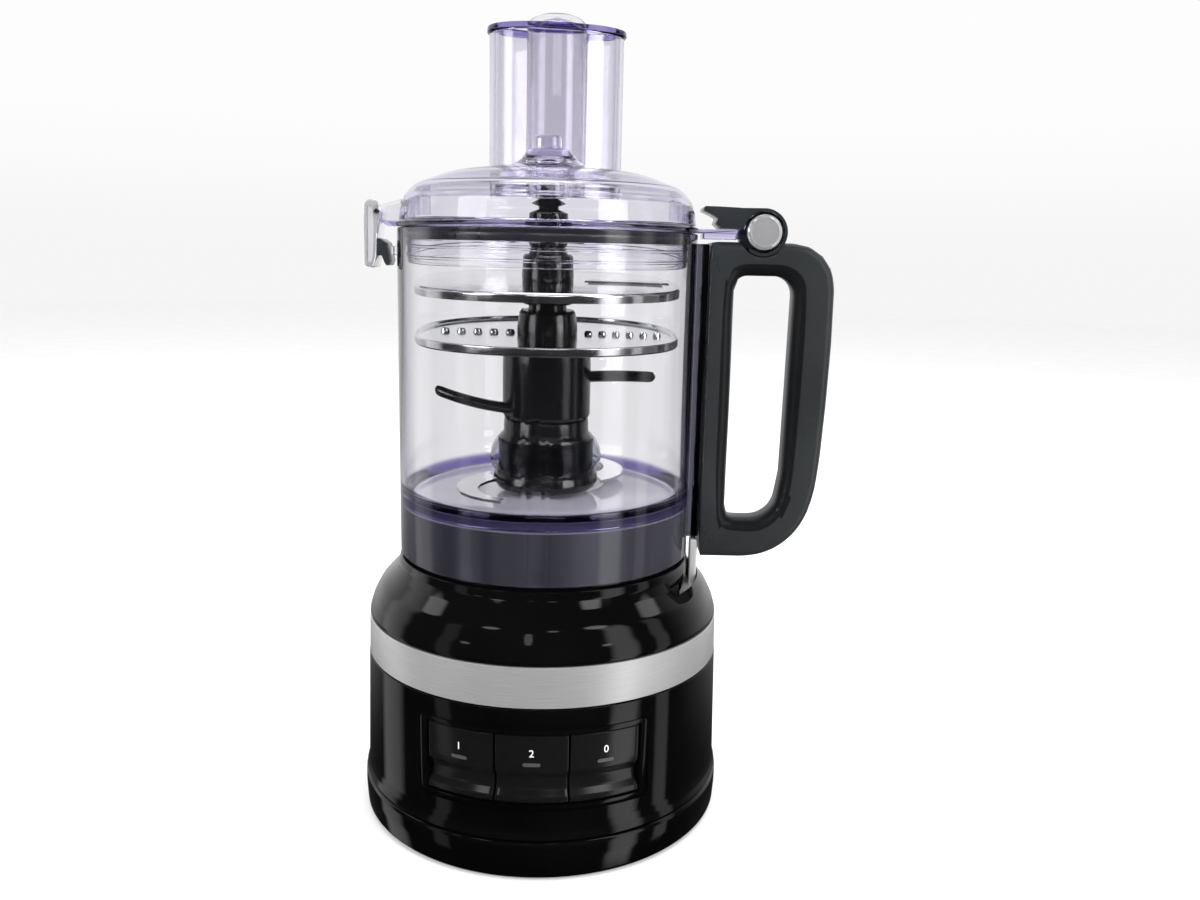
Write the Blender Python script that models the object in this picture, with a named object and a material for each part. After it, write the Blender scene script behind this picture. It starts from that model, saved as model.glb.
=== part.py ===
"""Countertop food processor: motor base with three paddle buttons, clear work
bowl with a closed-loop handle, hinged domed lid with an oval feed tube, two
nested pushers, an over-centre latch, and the accessories stored on the drive
stem.  Origin on the spindle axis at the height the feet stand on, +Z up,
handle towards +X, buttons towards -Y."""
import bpy
import bmesh
import math
from mathutils import Matrix, Vector

MM = 0.001

# ---------------------------------------------------------------- dimensions
GAP = 0.3               # clearance between pieces that rest on each other
R_PLINTH = 101.0        # widest radius of the base, at the plinth
R_DRUM_LOW = 99.6       # drum just above the plinth
R_DRUM_TOP = 97.9       # drum just under the trim band
Z_PLINTH_TOP = 21.2
Z_BAND_LOW = 90.0
Z_BAND_TOP = 111.0
R_BAND = 97.9
Z_DECK = 143.5          # ledge around the pedestal, just under the bowl skirt
R_PEDESTAL = 76.3
Z_PEDESTAL = 172.2
R_BOWL = 80.0           # outer radius of the work bowl
BOWL_WALL = 2.3
Z_SKIRT = 145.2         # bottom of the bowl skirt
Z_FLOOR = 176.4         # inside floor of the bowl
Z_RIM = 318.8
R_TUBE_IN = 7.5
R_TUBE_OUT = 10.0
Z_TUBE = 240.0
R_SPINDLE = 5.0
Z_SPINDLE = 262.0
HANDLE_T = 24.0         # handle thickness along Y
HINGE_X = 113.9         # lid hinge axis
HINGE_Z = 320.4
R_HINGE = 12.4
LATCH_X = -89.5         # latch lever pivot
LATCH_Z = 327.0
TUBE_A, TUBE_B = 37.4, 22.0   # feed tube half axes
TUBE_X, TUBE_Y = 1.5, 39.0
TUBE_YAW = 10.0
TUBE_WALL = 2.2
Z_TUBE_LOW = 336.0
Z_TUBE_TOP = 425.2
Z_FLANGE_TOP = 428.5
Z_TOP = 437.0
R_DISC = 72.0           # slicing and shredding discs
Z_DISC1 = 288.0
Z_DISC2 = 262.3
MOTOR_Y = 52.0
BUTTON_R = 97.8
BUTTON_Z0, BUTTON_Z1 = 40.3, 76.0
BUTTON_PIVOT_R = 92.0
BUTTON_PIVOT_Z = 74.5
BUTTON_HALF = math.radians(10.7)
BUTTON_STEP = math.radians(22.0)

SEG_BIG, SEG_MID = 40, 20

for ob in list(bpy.data.objects):
    bpy.data.objects.remove(ob, do_unlink=True)


# ------------------------------------------------------------------ helpers
def material(name, color, rough, metal=0.0, trans=0.0):
    m = bpy.data.materials.get(name)
    if m is None:
        m = bpy.data.materials.new(name)
        m.use_nodes = True
        b = m.node_tree.nodes["Principled BSDF"]
        b.inputs["Base Color"].default_value = (*color, 1.0)
        b.inputs["Roughness"].default_value = rough
        b.inputs["Metallic"].default_value = metal
        b.inputs["Transmission Weight"].default_value = trans
        m.diffuse_color = (*color, 1.0)
    return m


BLACK = dict(color=(0.008, 0.008, 0.009), rough=0.08)
CHAR = dict(color=(0.035, 0.036, 0.038), rough=0.38)
CLEAR = dict(color=(0.90, 0.89, 0.97), rough=0.03, trans=0.95)
SMOKE = dict(color=(0.10, 0.105, 0.11), rough=0.15, trans=0.6)
STEEL = dict(color=(0.62, 0.62, 0.63), rough=0.25, metal=1.0)
CHROME = dict(color=(0.85, 0.85, 0.86), rough=0.05, metal=1.0)
BAND = dict(color=(0.75, 0.75, 0.75), rough=0.32, metal=1.0)
RUBBER = dict(color=(0.02, 0.02, 0.02), rough=0.8)
INNER = dict(color=(0.35, 0.36, 0.37), rough=0.5, metal=0.6)
BOARD = dict(color=(0.02, 0.12, 0.05), rough=0.5)
BRONZE = dict(color=(0.55, 0.38, 0.18), rough=0.4, metal=1.0)


def axis_empty(name, loc=(0, 0, 0), rot_z=0.0):
    e = bpy.data.objects.new(name, None)
    e.empty_display_size = 0.01
    e.location = [v * MM for v in loc]
    e.rotation_euler = (0, 0, rot_z)
    bpy.context.collection.objects.link(e)
    return e


def finish(name, bm, look, parent=None, smooth=True, cutter=False):
    """Turn a bmesh in millimetres, in the frame of its parent, into an object."""
    bmesh.ops.remove_doubles(bm, verts=bm.verts, dist=0.0005)
    bmesh.ops.dissolve_degenerate(bm, edges=bm.edges, dist=0.0005)
    bmesh.ops.recalc_face_normals(bm, faces=bm.faces)
    bmesh.ops.scale(bm, vec=(MM, MM, MM), verts=bm.verts)
    me = bpy.data.meshes.new(name)
    bm.to_mesh(me)
    bm.free()
    if smooth:
        me.shade_smooth()
        me.set_sharp_from_angle(angle=math.radians(32))
    ob = bpy.data.objects.new(name, me)
    bpy.context.collection.objects.link(ob)
    if cutter:
        ob.hide_render = True
        ob.display_type = "WIRE"
    else:
        ob.data.materials.append(material("mat_" + name, **look))
    if parent is not None:
        ob.parent = parent
    return ob


def revolve_bm(profile, seg):
    """Solid of revolution about Z of a closed (r, z) polygon."""
    bm = bmesh.new()
    vs = [bm.verts.new((r, 0.0, z)) for r, z in profile]
    es = [bm.edges.new((vs[i], vs[(i + 1) % len(vs)])) for i in range(len(vs))
          if not (profile[i][0] == 0 and profile[(i + 1) % len(vs)][0] == 0)]
    bmesh.ops.spin(bm, geom=vs + es, cent=(0, 0, 0), axis=(0, 0, 1),
                   angle=2 * math.pi, steps=seg, use_merge=True)
    return bm


def sector_bm(profile, seg, a0, a1):
    """Closed sector of revolution, built ring by ring with both end caps."""
    bm = bmesh.new()
    rings = []
    for k in range(seg + 1):
        a = a0 + (a1 - a0) * k / seg
        rings.append([bm.verts.new((r * math.cos(a), r * math.sin(a), z)) for r, z in profile])
    n = len(profile)
    for k in range(seg):
        for i in range(n):
            j = (i + 1) % n
            bm.faces.new((rings[k][i], rings[k][j], rings[k + 1][j], rings[k + 1][i]))
    bm.faces.new(rings[0])
    bm.faces.new(list(reversed(rings[-1])))
    return bm


def prism_bm(outline, lo, hi, axis="Z"):
    """Extrude a closed 2-D outline between lo and hi along an axis."""
    bm = bmesh.new()
    def p(u, v, w):
        return {"Z": (u, v, w), "Y": (u, w, v), "X": (w, u, v)}[axis]
    base = [bm.verts.new(p(u, v, lo)) for u, v in outline]
    f = bm.faces.new(base)
    ext = bmesh.ops.extrude_face_region(bm, geom=[f])
    top = [g for g in ext["geom"] if isinstance(g, bmesh.types.BMVert)]
    d = {"Z": (0, 0, hi - lo), "Y": (0, hi - lo, 0), "X": (hi - lo, 0, 0)}[axis]
    bmesh.ops.translate(bm, vec=d, verts=top)
    return bm


def box_bm(x0, x1, y0, y1, z0, z1, bevel=0.0):
    bm = bmesh.new()
    bmesh.ops.create_cube(bm, size=1.0)
    bmesh.ops.scale(bm, vec=(x1 - x0, y1 - y0, z1 - z0), verts=bm.verts)
    bmesh.ops.translate(bm, vec=((x0 + x1) / 2, (y0 + y1) / 2, (z0 + z1) / 2), verts=bm.verts)
    if bevel:
        bmesh.ops.bevel(bm, geom=list(bm.edges), offset=bevel, segments=1, affect="EDGES")
    return bm


def cyl_bm(r, lo, hi, seg, axis="Z", at=(0, 0), chamfer=0.0):
    """Cylinder along an axis; at is its centre in the two other coordinates."""
    c = chamfer
    prof = [(0, lo), (r - c, lo), (r, lo + c), (r, hi - c), (r - c, hi), (0, hi)] if c else \
        [(0, lo), (r, lo), (r, hi), (0, hi)]
    bm = revolve_bm(prof, seg)
    if axis == "Y":
        bmesh.ops.rotate(bm, verts=bm.verts, cent=(0, 0, 0), matrix=Matrix.Rotation(-math.pi / 2, 3, "X"))
        bmesh.ops.translate(bm, vec=(at[0], 0, at[1]), verts=bm.verts)
    elif axis == "X":
        bmesh.ops.rotate(bm, verts=bm.verts, cent=(0, 0, 0), matrix=Matrix.Rotation(math.pi / 2, 3, "Y"))
        bmesh.ops.translate(bm, vec=(0, at[0], at[1]), verts=bm.verts)
    else:
        bmesh.ops.translate(bm, vec=(at[0], at[1], 0), verts=bm.verts)
    return bm


def shift(bm, x=0.0, y=0.0, z=0.0, rot=0.0):
    if rot:
        bmesh.ops.rotate(bm, verts=bm.verts, cent=(0, 0, 0), matrix=Matrix.Rotation(rot, 3, "Z"))
    bmesh.ops.translate(bm, vec=(x, y, z), verts=bm.verts)
    return bm


def boolean(ob, bm, op, parent=None):
    """Add a live Boolean with a wire-drawn, non-rendering operand."""
    n = len(ob.modifiers) + 1
    tool = finish("%s_%s_%d" % (ob.name, op.lower()[:3], n), bm, None,
                  parent if parent is not None else ob.parent, smooth=False, cutter=True)
    mod = ob.modifiers.new("bool_%d" % n, "BOOLEAN")
    mod.operation = op
    mod.solver = "EXACT"
    mod.object = tool
    return tool


def oval(a, b, n=26, k=2.35):
    """Superellipse outline, the feed tube's section."""
    pts = []
    for i in range(n):
        t = 2 * math.pi * i / n
        c, s = math.cos(t), math.sin(t)
        pts.append((a * math.copysign(abs(c) ** (2 / k), c), b * math.copysign(abs(s) ** (2 / k), s)))
    return pts


def rounded(points, steps=4):
    """Closed outline from (x, y, radius) corners, each corner turned by an arc."""
    out = []
    n = len(points)
    for i in range(n):
        p0 = Vector(points[i - 1][:2])
        p1 = Vector(points[i][:2])
        p2 = Vector(points[(i + 1) % n][:2])
        r = points[i][2]
        d0 = (p0 - p1).normalized()
        d2 = (p2 - p1).normalized()
        if r <= 0:
            out.append(tuple(p1))
            continue
        half = math.acos(max(-1, min(1, d0.dot(d2)))) / 2
        t = r / math.tan(half)
        c = p1 + (d0 + d2).normalized() * (r / math.sin(half))
        a = p1 + d0 * t - c
        b = p1 + d2 * t - c
        ang = a.angle_signed(b)
        for k in range(steps + 1):
            v = a.copy()
            v.rotate(Matrix.Rotation(-ang * k / steps, 2))
            out.append(tuple(c + v))
    return out


def arc_band(r, width, a0, a1, cx, cy, n, taper=1.0):
    """Outline of a curved arm: two arcs about (cx, cy), narrowing to the tip."""
    outer, inner = [], []
    for i in range(n + 1):
        t = i / n
        a = a0 + (a1 - a0) * t
        w = width * (1 - (1 - taper) * t) / 2
        outer.append((cx + (r + w) * math.cos(a), cy + (r + w) * math.sin(a)))
        inner.append((cx + (r - w) * math.cos(a), cy + (r - w) * math.sin(a)))
    return outer + inner[::-1]


# ---------------------------------------------------------------- joint axes
ax_base = axis_empty("axis_base")
ax_slider = axis_empty("axis_slider")
ax_bowl = axis_empty("axis_bowl")
ax_spindle = axis_empty("axis_spindle")
ax_motor = axis_empty("axis_motor", (0, MOTOR_Y, 0))
ax_tools = axis_empty("axis_tools")
ax_lid = axis_empty("axis_lid", (HINGE_X, 0, HINGE_Z))
ax_latch = axis_empty("axis_latch", (LATCH_X, 0, LATCH_Z))


def about(ax, bm):
    """Move a bmesh drawn in world millimetres into the frame of an axis empty."""
    loc = ax.location / MM
    bmesh.ops.translate(bm, vec=(-loc.x, -loc.y, -loc.z), verts=bm.verts)
    return bm


# --------------------------------------------------------------- motor base
cover = finish("bottom_cover", revolve_bm(
    [(0, 0.5), (99.4, 0.5), (100.5, 2.0), (R_PLINTH, 19.8), (99.7, Z_PLINTH_TOP),
     (96.6, Z_PLINTH_TOP), (96.6, 4.6), (0, 4.6)], SEG_BIG), BLACK, ax_base)
for i in range(4):
    a = math.radians(45 + 90 * i)
    x, y = 84 * math.cos(a), 84 * math.sin(a)
    # rubber pad sunk in a pocket, held by a peg through the plate
    boolean(cover, cyl_bm(9.3, -1, 2.3, 12, at=(x, y)), "DIFFERENCE")
    boolean(cover, cyl_bm(3.3, 0, 8, 12, at=(x, y)), "DIFFERENCE")
    foot = revolve_bm([(0, 0), (9.0, 0), (9.0, 2.0), (3.0, 2.0), (3.0, 6.8), (0, 6.8)], 12)
    finish("foot_%d" % (i + 1), shift(foot, x, y), RUBBER, ax_base)

drum = finish("lower_housing", revolve_bm(
    [(R_DRUM_LOW + 0.9, Z_PLINTH_TOP + GAP), (R_DRUM_LOW + 0.1, 24.8), (R_DRUM_LOW - 0.5, 29.5), (R_DRUM_TOP, Z_BAND_LOW - GAP), (95.4, Z_BAND_LOW - GAP),
     (96.9, Z_PLINTH_TOP + GAP)], SEG_BIG), BLACK, ax_base)
W = 36.0 * math.pi / 180
boolean(drum, sector_bm([(90, 36.6), (104, 36.6), (104, 79.6), (90, 79.6)], 8,
                        -math.pi / 2 - W, -math.pi / 2 + W), "DIFFERENCE")
boolean(drum, cyl_bm(6.6, 80, 110, 16, "Y", (0, 38)), "DIFFERENCE")

top = finish("upper_housing", revolve_bm(
    [(95.5, 90.3), (95.5, 111.4), (97.3, 111.4), (96.6, 116.0), (93.9, 123.0),
     (88.9, 130.6), (83.0, 136.4), (80.5, 140.6), (80.3, Z_DECK),
     (76.6, Z_DECK), (R_PEDESTAL, 169.8), (74.2, Z_PEDESTAL), (12.3, Z_PEDESTAL),
     (12.3, 156), (16.3, 156), (16.3, 168.9), (73.2, 168.9), (73.6, 140.6),
     (79.6, 135.0), (85.8, 128.4), (90.7, 120.8), (92.8, 112), (92.8, 90.3)], SEG_BIG), BLACK, ax_base)
# curved slot the interlock slider runs in
boolean(top, sector_bm([(80.6, 118), (86.8, 118), (86.8, 150), (80.6, 150)], 6,
                       math.radians(-34.5), math.radians(1.5)), "DIFFERENCE")

finish("trim_band", revolve_bm(
    [(R_BAND - 0.1, Z_BAND_LOW), (R_BAND - 0.5, Z_BAND_TOP), (95.8, Z_BAND_TOP), (95.8, Z_BAND_LOW)],
    SEG_BIG), BAND, ax_base)

bez = finish("control_bezel", sector_bm(
    [(92.6, 37.0), (98.6, 37.0), (98.5, 79.2), (92.6, 79.2)], 10,
    -math.pi / 2 - W + 0.004, -math.pi / 2 + W - 0.004), BLACK, ax_base)
WB = BUTTON_STEP + BUTTON_HALF + 0.010
boolean(bez, sector_bm([(88, BUTTON_Z0 - 0.6), (104, BUTTON_Z0 - 0.6), (104, BUTTON_Z1 + 0.6), (88, BUTTON_Z1 + 0.6)],
                       10, -math.pi / 2 - WB, -math.pi / 2 + WB), "DIFFERENCE")

for i, nm in enumerate(("button_1", "button_2", "button_pulse")):
    a = -math.pi / 2 + (i - 1) * BUTTON_STEP
    ax = axis_empty("axis_" + nm, (BUTTON_PIVOT_R * math.cos(a), BUTTON_PIVOT_R * math.sin(a), BUTTON_PIVOT_Z))
    paddle = sector_bm([(91.2, BUTTON_Z0), (98.1, BUTTON_Z0), (98.2, 43.4), (94.6, 47.2), (94.0, 53.0), (97.5, 57.2), (BUTTON_R, BUTTON_Z1), (91.2, BUTTON_Z1)], 5,
                       a - BUTTON_HALF, a + BUTTON_HALF)
    finish(nm, about(ax, paddle), BLACK, ax)

finish("control_board", box_bm(-46, 46, -71.6, -70, 38, 78), BOARD, ax_base)
for i in range(3):
    a = -math.pi / 2 + (i - 1) * BUTTON_STEP
    x = 84 * math.cos(a) * 0.92
    y1 = -math.sqrt(86.5 ** 2 - (abs(x) + 4) ** 2)
    sw = finish("switch_%d" % (i + 1), box_bm(x - 4, x + 4, y1 + 3, -71.9, 43, 56, 0.5), CHAR, ax_base)
    boolean(sw, box_bm(x - 1.5, x + 1.5, y1 + 0.6, -74, 46, 50), "UNION")

# ------------------------------------------------------------- drive inside
frame = finish("drive_frame", prism_bm(rounded(
    [(-38, -38, 8), (38, -38, 8), (34, 86, 8), (-34, 86, 8)]), 21.6, 24.4), INNER, ax_base)
for x, y in ((-32.5, -32.5), (32.5, -32.5), (-27, 79), (27, 79)):
    boolean(frame, cyl_bm(4, 5.5, 23, 12, at=(x, y)), "UNION")
boolean(frame, cyl_bm(11.5, 15, 30, 16), "DIFFERENCE")
boolean(frame, cyl_bm(9.0, 15, 30, 12, at=(0, MOTOR_Y)), "DIFFERENCE")
finish("lower_bearing", revolve_bm([(5.3, 21.0), (11.0, 21.0), (11.0, 31), (5.3, 31)], 16), BRONZE, ax_base)
finish("upper_bearing", revolve_bm([(5.3, 157), (12.0, 157), (12.0, 171.5), (5.3, 171.5)], 16), BRONZE, ax_base)
finish("motor_can", shift(revolve_bm(
    [(3.4, 24.8), (30, 24.8), (30, 80), (26, 84), (3.4, 84)], SEG_MID), 0, MOTOR_Y), INNER, ax_base)
finish("motor_shaft", revolve_bm([(0, 7.6), (3.0, 7.6), (3.0, 88), (0, 88)], 16), STEEL, ax_motor)
pul = finish("motor_pulley", revolve_bm([(3.3, 9), (9.7, 9), (9.7, 19), (3.3, 19)], 16), STEEL, ax_motor)
finish("drive_pulley", revolve_bm([(5.3, 9), (12, 9), (12, 12), (34, 12), (34, 9), (38, 9),
                                   (38, 19), (34, 19), (34, 15), (5.3, 15)], 28),
       INNER, ax_spindle)


def belt_outline(r1, r2, d, n=12):
    """Open belt around a pulley at the origin and one at (0, d), counter-clockwise."""
    s = math.asin((r1 - r2) / d)
    pts = []
    for i in range(n + 1):
        a = math.pi - s + (math.pi + 2 * s) * i / n
        pts.append((r1 * math.cos(a), r1 * math.sin(a)))
    for i in range(n + 1):
        a = s + (math.pi - 2 * s) * i / n
        pts.append((r2 * math.cos(a), d + r2 * math.sin(a)))
    return pts


belt_out = belt_outline(41.0, 12.6, MOTOR_Y)
belt_in = belt_outline(38.9, 10.5, MOTOR_Y)
bm = bmesh.new()
loops = [[bm.verts.new((x, y, z)) for x, y in o] for o, z in
         ((belt_out, 10.5), (belt_out, 17.5), (belt_in, 17.5), (belt_in, 10.5))]
for k in range(4):
    A, B = loops[k], loops[(k + 1) % 4]
    for i in range(len(A)):
        j = (i + 1) % len(A)
        bm.faces.new((A[i], A[j], B[j], B[i]))
finish("drive_belt", bm, RUBBER, ax_base)

spindle = finish("drive_spindle", revolve_bm(
    [(0, 7.2), (R_SPINDLE, 7.2), (R_SPINDLE, Z_SPINDLE - 1), (R_SPINDLE - 1, Z_SPINDLE), (0, Z_SPINDLE)], 20),
    STEEL, ax_spindle)
boolean(spindle, box_bm(-6.8, 6.8, -1.6, 1.6, 247, 259.5), "UNION")

gland = finish("cord_gland", revolve_bm(
    [(3.6, -104), (8.6, -104), (8.6, -100.4), (6.2, -99.4), (6.2, -91), (3.6, -91)], 14), RUBBER, ax_base)
gland.rotation_euler = (math.pi / 2, 0, 0)
gland.location = (0, 0, 0.038)
finish("interlock_switch", box_bm(66, 76, -12, -2, 114, 126, 0.6), CHAR, ax_base)

# ----------------------------------------------------------------- interlock
slider = finish("interlock_slider", sector_bm(
    [(78.6, 120.5), (84.4, 120.5), (84.4, 126.5), (78.6, 126.5)], 10,
    math.radians(-16), math.radians(6)), BAND, ax_slider)
boolean(slider, box_bm(81.2, 85.6, -10.2, -1.8, 125.5, 152.5), "UNION")
boolean(slider, cyl_bm(1.7, 116, 156, 12, at=(83.5, -6.0)), "DIFFERENCE")
plunger = finish("interlock_plunger", cyl_bm(1.35, 128.6, 152.4, 12, at=(83.5, -6.0)), CHAR, ax_slider)

# ---------------------------------------------------------------- work bowl
ri = R_BOWL - BOWL_WALL
bowl = finish("work_bowl", revolve_bm(
    [(R_TUBE_IN, 173.9), (ri - 0.4, 173.9), (ri - 0.1, Z_SKIRT), (R_BOWL, Z_SKIRT), (R_BOWL, Z_RIM),
     (ri + 0.1, Z_RIM), (ri, 181.5), (ri - 4.4, Z_FLOOR), (R_TUBE_OUT, Z_FLOOR),
     (R_TUBE_OUT - 0.2, Z_TUBE), (R_TUBE_IN, Z_TUBE)], SEG_BIG), CLEAR, ax_bowl)
boolean(bowl, box_bm(78.9, 86.0, -9, 9, 153.6, 314.0, 0.6), "UNION")
boolean(bowl, box_bm(-83.2, -78.9, -8, 8, 304.5, 309.5, 0.6), "UNION")
boolean(bowl, cyl_bm(1.75, 150, 320, 12, at=(83.5, -6.0)), "DIFFERENCE")
finish("interlock_rod", cyl_bm(1.35, 152.8, 312.7, 12, at=(83.5, -6.0)), STEEL, ax_bowl)

XI, XO = 100.3, 153.7
hout = rounded([(86.3, 142.8, 1.5), (111.0, 142.8, 0), (118.5, 143.7, 0), (125.5, 146.0, 0), (132.0, 149.8, 0),
                (138.2, 155.3, 0), (143.2, 162.4, 0), (147.0, 171.2, 0), (149.6, 182.6, 0), (151.3, 200.0, 0),
                (152.8, 230.0, 0), (XO, 262.0, 0), (XO - 0.4, 315.2, 23), (86.3, 315.2, 1.5)], 4)
hin = rounded([(XI, 164.8, 4), (126.5, 164.8, 14), (130.6, 190, 8), (132.2, 297.7, 9), (XI, 297.7, 6)], 3)
bm = prism_bm(hout, -HANDLE_T / 2, HANDLE_T / 2, "Y")
rims = [e for e in bm.edges if abs(abs(e.verts[0].co.y) - HANDLE_T / 2) < 1e-4 and
        abs(e.verts[0].co.y - e.verts[1].co.y) < 1e-4 and
        not (e.verts[0].co.x < 86.4 and e.verts[1].co.x < 86.4)]
bmesh.ops.bevel(bm, geom=rims, offset=3.2, segments=1, profile=0.5, affect="EDGES", clamp_overlap=True)
handle = finish("handle", bm, CHAR, ax_bowl)
bm = prism_bm(hin, -HANDLE_T / 2 - 2, HANDLE_T / 2 + 2, "Y")
boolean(handle, bm, "DIFFERENCE")
boolean(handle, cyl_bm(R_HINGE + 0.6, -16, 16, 32, "Y", (HINGE_X, HINGE_Z)), "DIFFERENCE")
boolean(handle, cyl_bm(R_HINGE, -4.9, 4.9, 32, "Y", (HINGE_X, HINGE_Z)), "UNION")
boolean(handle, box_bm(HINGE_X - 9, HINGE_X + 9, -4.9, 4.9, 305.0, 312.0), "UNION")
boolean(handle, cyl_bm(3.3, -20, 20, 16, "Y", (HINGE_X, HINGE_Z)), "DIFFERENCE")

finish("hinge_pin", cyl_bm(3.0, -12.4, 12.4, 16, "Y", (HINGE_X, HINGE_Z)), STEEL, ax_bowl)
for s, nm in ((-1, "hinge_cap_front"), (1, "hinge_cap_rear")):
    lo, hi = sorted((s * 12.8, s * 15.4))
    finish(nm, cyl_bm(9.2, lo, hi, SEG_MID, "Y", (HINGE_X, HINGE_Z)), CHROME, ax_bowl)

# ---------------------------------------------------------------------- lid
lid = finish("lid", about(ax_lid, revolve_bm(
    [(73.4, 299.4), (75.4, 299.4), (75.6, 313.6), (74.7, 313.6), (74.7, 319.1), (80.8, 319.1), (80.8, 321.6),
     (78.6, 322.6), (77.0, 333.4), (71.8, 340.5), (52.7, 348.3),
     (16.5, 353.6), (12.0, 359.9), (7.3, 361.8), (7.3, 368.0), (0, 368.0), (0, 355.4), (9.3, 355.4),
     (9.3, 337.2), (11.0, 337.2), (11.0, 351.2), (52.0, 345.9), (69.8, 338.7), (74.4, 332.6), (75.3, 321.6),
     (73.4, 319.6)], SEG_BIG)), CLEAR, ax_lid)
yaw = math.radians(TUBE_YAW)


def tube_prism(a, b, lo, hi):
    return about(ax_lid, shift(prism_bm(oval(a, b), lo, hi), TUBE_X, TUBE_Y, 0, 0) if not yaw else
                 shift(shift(prism_bm(oval(a, b), lo, hi), rot=yaw), TUBE_X, TUBE_Y))


boolean(lid, tube_prism(TUBE_A, TUBE_B, Z_TUBE_LOW, Z_TUBE_TOP), "UNION")
boolean(lid, tube_prism(TUBE_A - TUBE_WALL, TUBE_B - TUBE_WALL, Z_TUBE_LOW - 8, Z_TUBE_TOP + 8), "DIFFERENCE")
# clear hinge bar and its two eyes
boolean(lid, about(ax_lid, box_bm(76.6, 100.2, -12.2, 12.2, 319.3, 321.4)), "UNION")
boolean(lid, about(ax_lid, box_bm(82.4, 100.1, -12.1, 12.1, 316.3, 320.4)), "UNION")
for s in (-1, 1):
    lo, hi = sorted((s * 5.5, s * 12.2))
    boolean(lid, about(ax_lid, box_bm(99.0, 107.0, lo, hi, 316.4, 321.4)), "UNION")
    boolean(lid, about(ax_lid, cyl_bm(10.5, lo, hi, 24, "Y", (HINGE_X, HINGE_Z))), "UNION")
boolean(lid, about(ax_lid, cyl_bm(3.3, -20, 20, 16, "Y", (HINGE_X, HINGE_Z))), "DIFFERENCE")
# latch ears
for s in (-1, 1):
    lo, hi = sorted((s * 9.4, s * 11.6))
    boolean(lid, about(ax_lid, prism_bm([(-76.6, 319.4), (-84.0, 319.4), (-91.4, 324.4), (-91.4, 329.4),
                                         (-87.6, 329.6), (-76.6, 333.0)], lo, hi, "Y")), "UNION")
boolean(lid, about(ax_lid, cyl_bm(1.5, -14, 14, 12, "Y", (LATCH_X, LATCH_Z))), "DIFFERENCE")
finish("latch_pin", about(ax_lid, cyl_bm(1.2, -11.9, 11.9, 12, "Y", (LATCH_X, LATCH_Z))), STEEL, ax_lid)

finish("lid_gasket", about(ax_lid, revolve_bm(
    [(75.0, 314.0), (77.0, 314.8), (77.0, 318.0), (75.0, 318.8)], SEG_BIG)),
    RUBBER, ax_lid)

arm = finish("hinge_arm", about(ax_lid, prism_bm(
    [(82.0, 321.8), (101.0, 321.8), (101.0, 332.8), (90.0, 333.2), (82.0, 333.4)], -12.4, 12.4, "Y")), CHAR, ax_lid)
for s in (-1, 1):
    lo, hi = sorted((s * 5.5, s * 12.3))
    # cheek: wedge that runs into the ring around the hinge eye
    ring = [(HINGE_X + R_HINGE * math.cos(t), HINGE_Z + R_HINGE * math.sin(t))
            for t in (math.radians(172 + 278 * i / 28) for i in range(29))]
    boolean(arm, about(ax_lid, prism_bm([(99.0, 321.9)] + ring + [(99.0, 332.6)], lo, hi, "Y")), "UNION")
boolean(arm, about(ax_lid, cyl_bm(10.9, -20, 20, 24, "Y", (HINGE_X, HINGE_Z))), "DIFFERENCE")
boolean(arm, about(ax_lid, box_bm(78, 107, -20, 20, 300, 321.75)), "DIFFERENCE")

latch = finish("latch_lever", about(ax_latch, prism_bm(rounded(
    [(-97.6, 298.6, 2.0), (-92.2, 297.4, 1.0), (-87.6, 305.6, 0.6), (-85.0, 298.2, 0.6), (-83.8, 301.6, 0.6),
     (-85.6, 311.2, 0.8), (-89.0, 313.0, 1.0), (-88.6, 321.5, 0), (-86.9, 327.0, 2.0), (-89.5, 333.2, 3.0), (-97.0, 334.2, 3.0)], 3),
    -8.9, 8.9, "Y")), CHROME, ax_latch)
boolean(latch, about(ax_latch, cyl_bm(1.5, -14, 14, 12, "Y", (LATCH_X, LATCH_Z))), "DIFFERENCE")

# ------------------------------------------------------------------ pushers
PA, PB = TUBE_A - TUBE_WALL - 0.6, TUBE_B - TUBE_WALL - 0.6


def tube_cyl(r, lo, hi, seg=SEG_MID):
    return about(ax_lid, cyl_bm(r, lo, hi, seg, at=(TUBE_X, TUBE_Y)))


big = finish("large_pusher", tube_prism(PA, PB, 339.0, 427.0), CLEAR, ax_lid)
boolean(big, tube_prism(TUBE_A + 1.3, TUBE_B + 1.3, Z_TUBE_TOP + GAP, Z_FLANGE_TOP), "UNION")
boolean(big, tube_prism(PA - 2.0, PB - 2.0, 341.4, 440.0), "DIFFERENCE")
boolean(big, tube_cyl(16.6, 339.0, Z_FLANGE_TOP), "UNION")
boolean(big, tube_cyl(14.8, 330.0, 440.0), "DIFFERENCE")
small = finish("small_pusher", about(ax_lid, shift(revolve_bm(
    [(0, 345.0), (14.1, 345.0), (14.2, Z_FLANGE_TOP + GAP), (17.0, Z_FLANGE_TOP + GAP), (17.0, 430.6),
     (15.2, 433.8), (5.5, Z_TOP), (4.0, 434.5), (0, 434.5)], SEG_MID),
    TUBE_X, TUBE_Y)), CLEAR, ax_lid)

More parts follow.
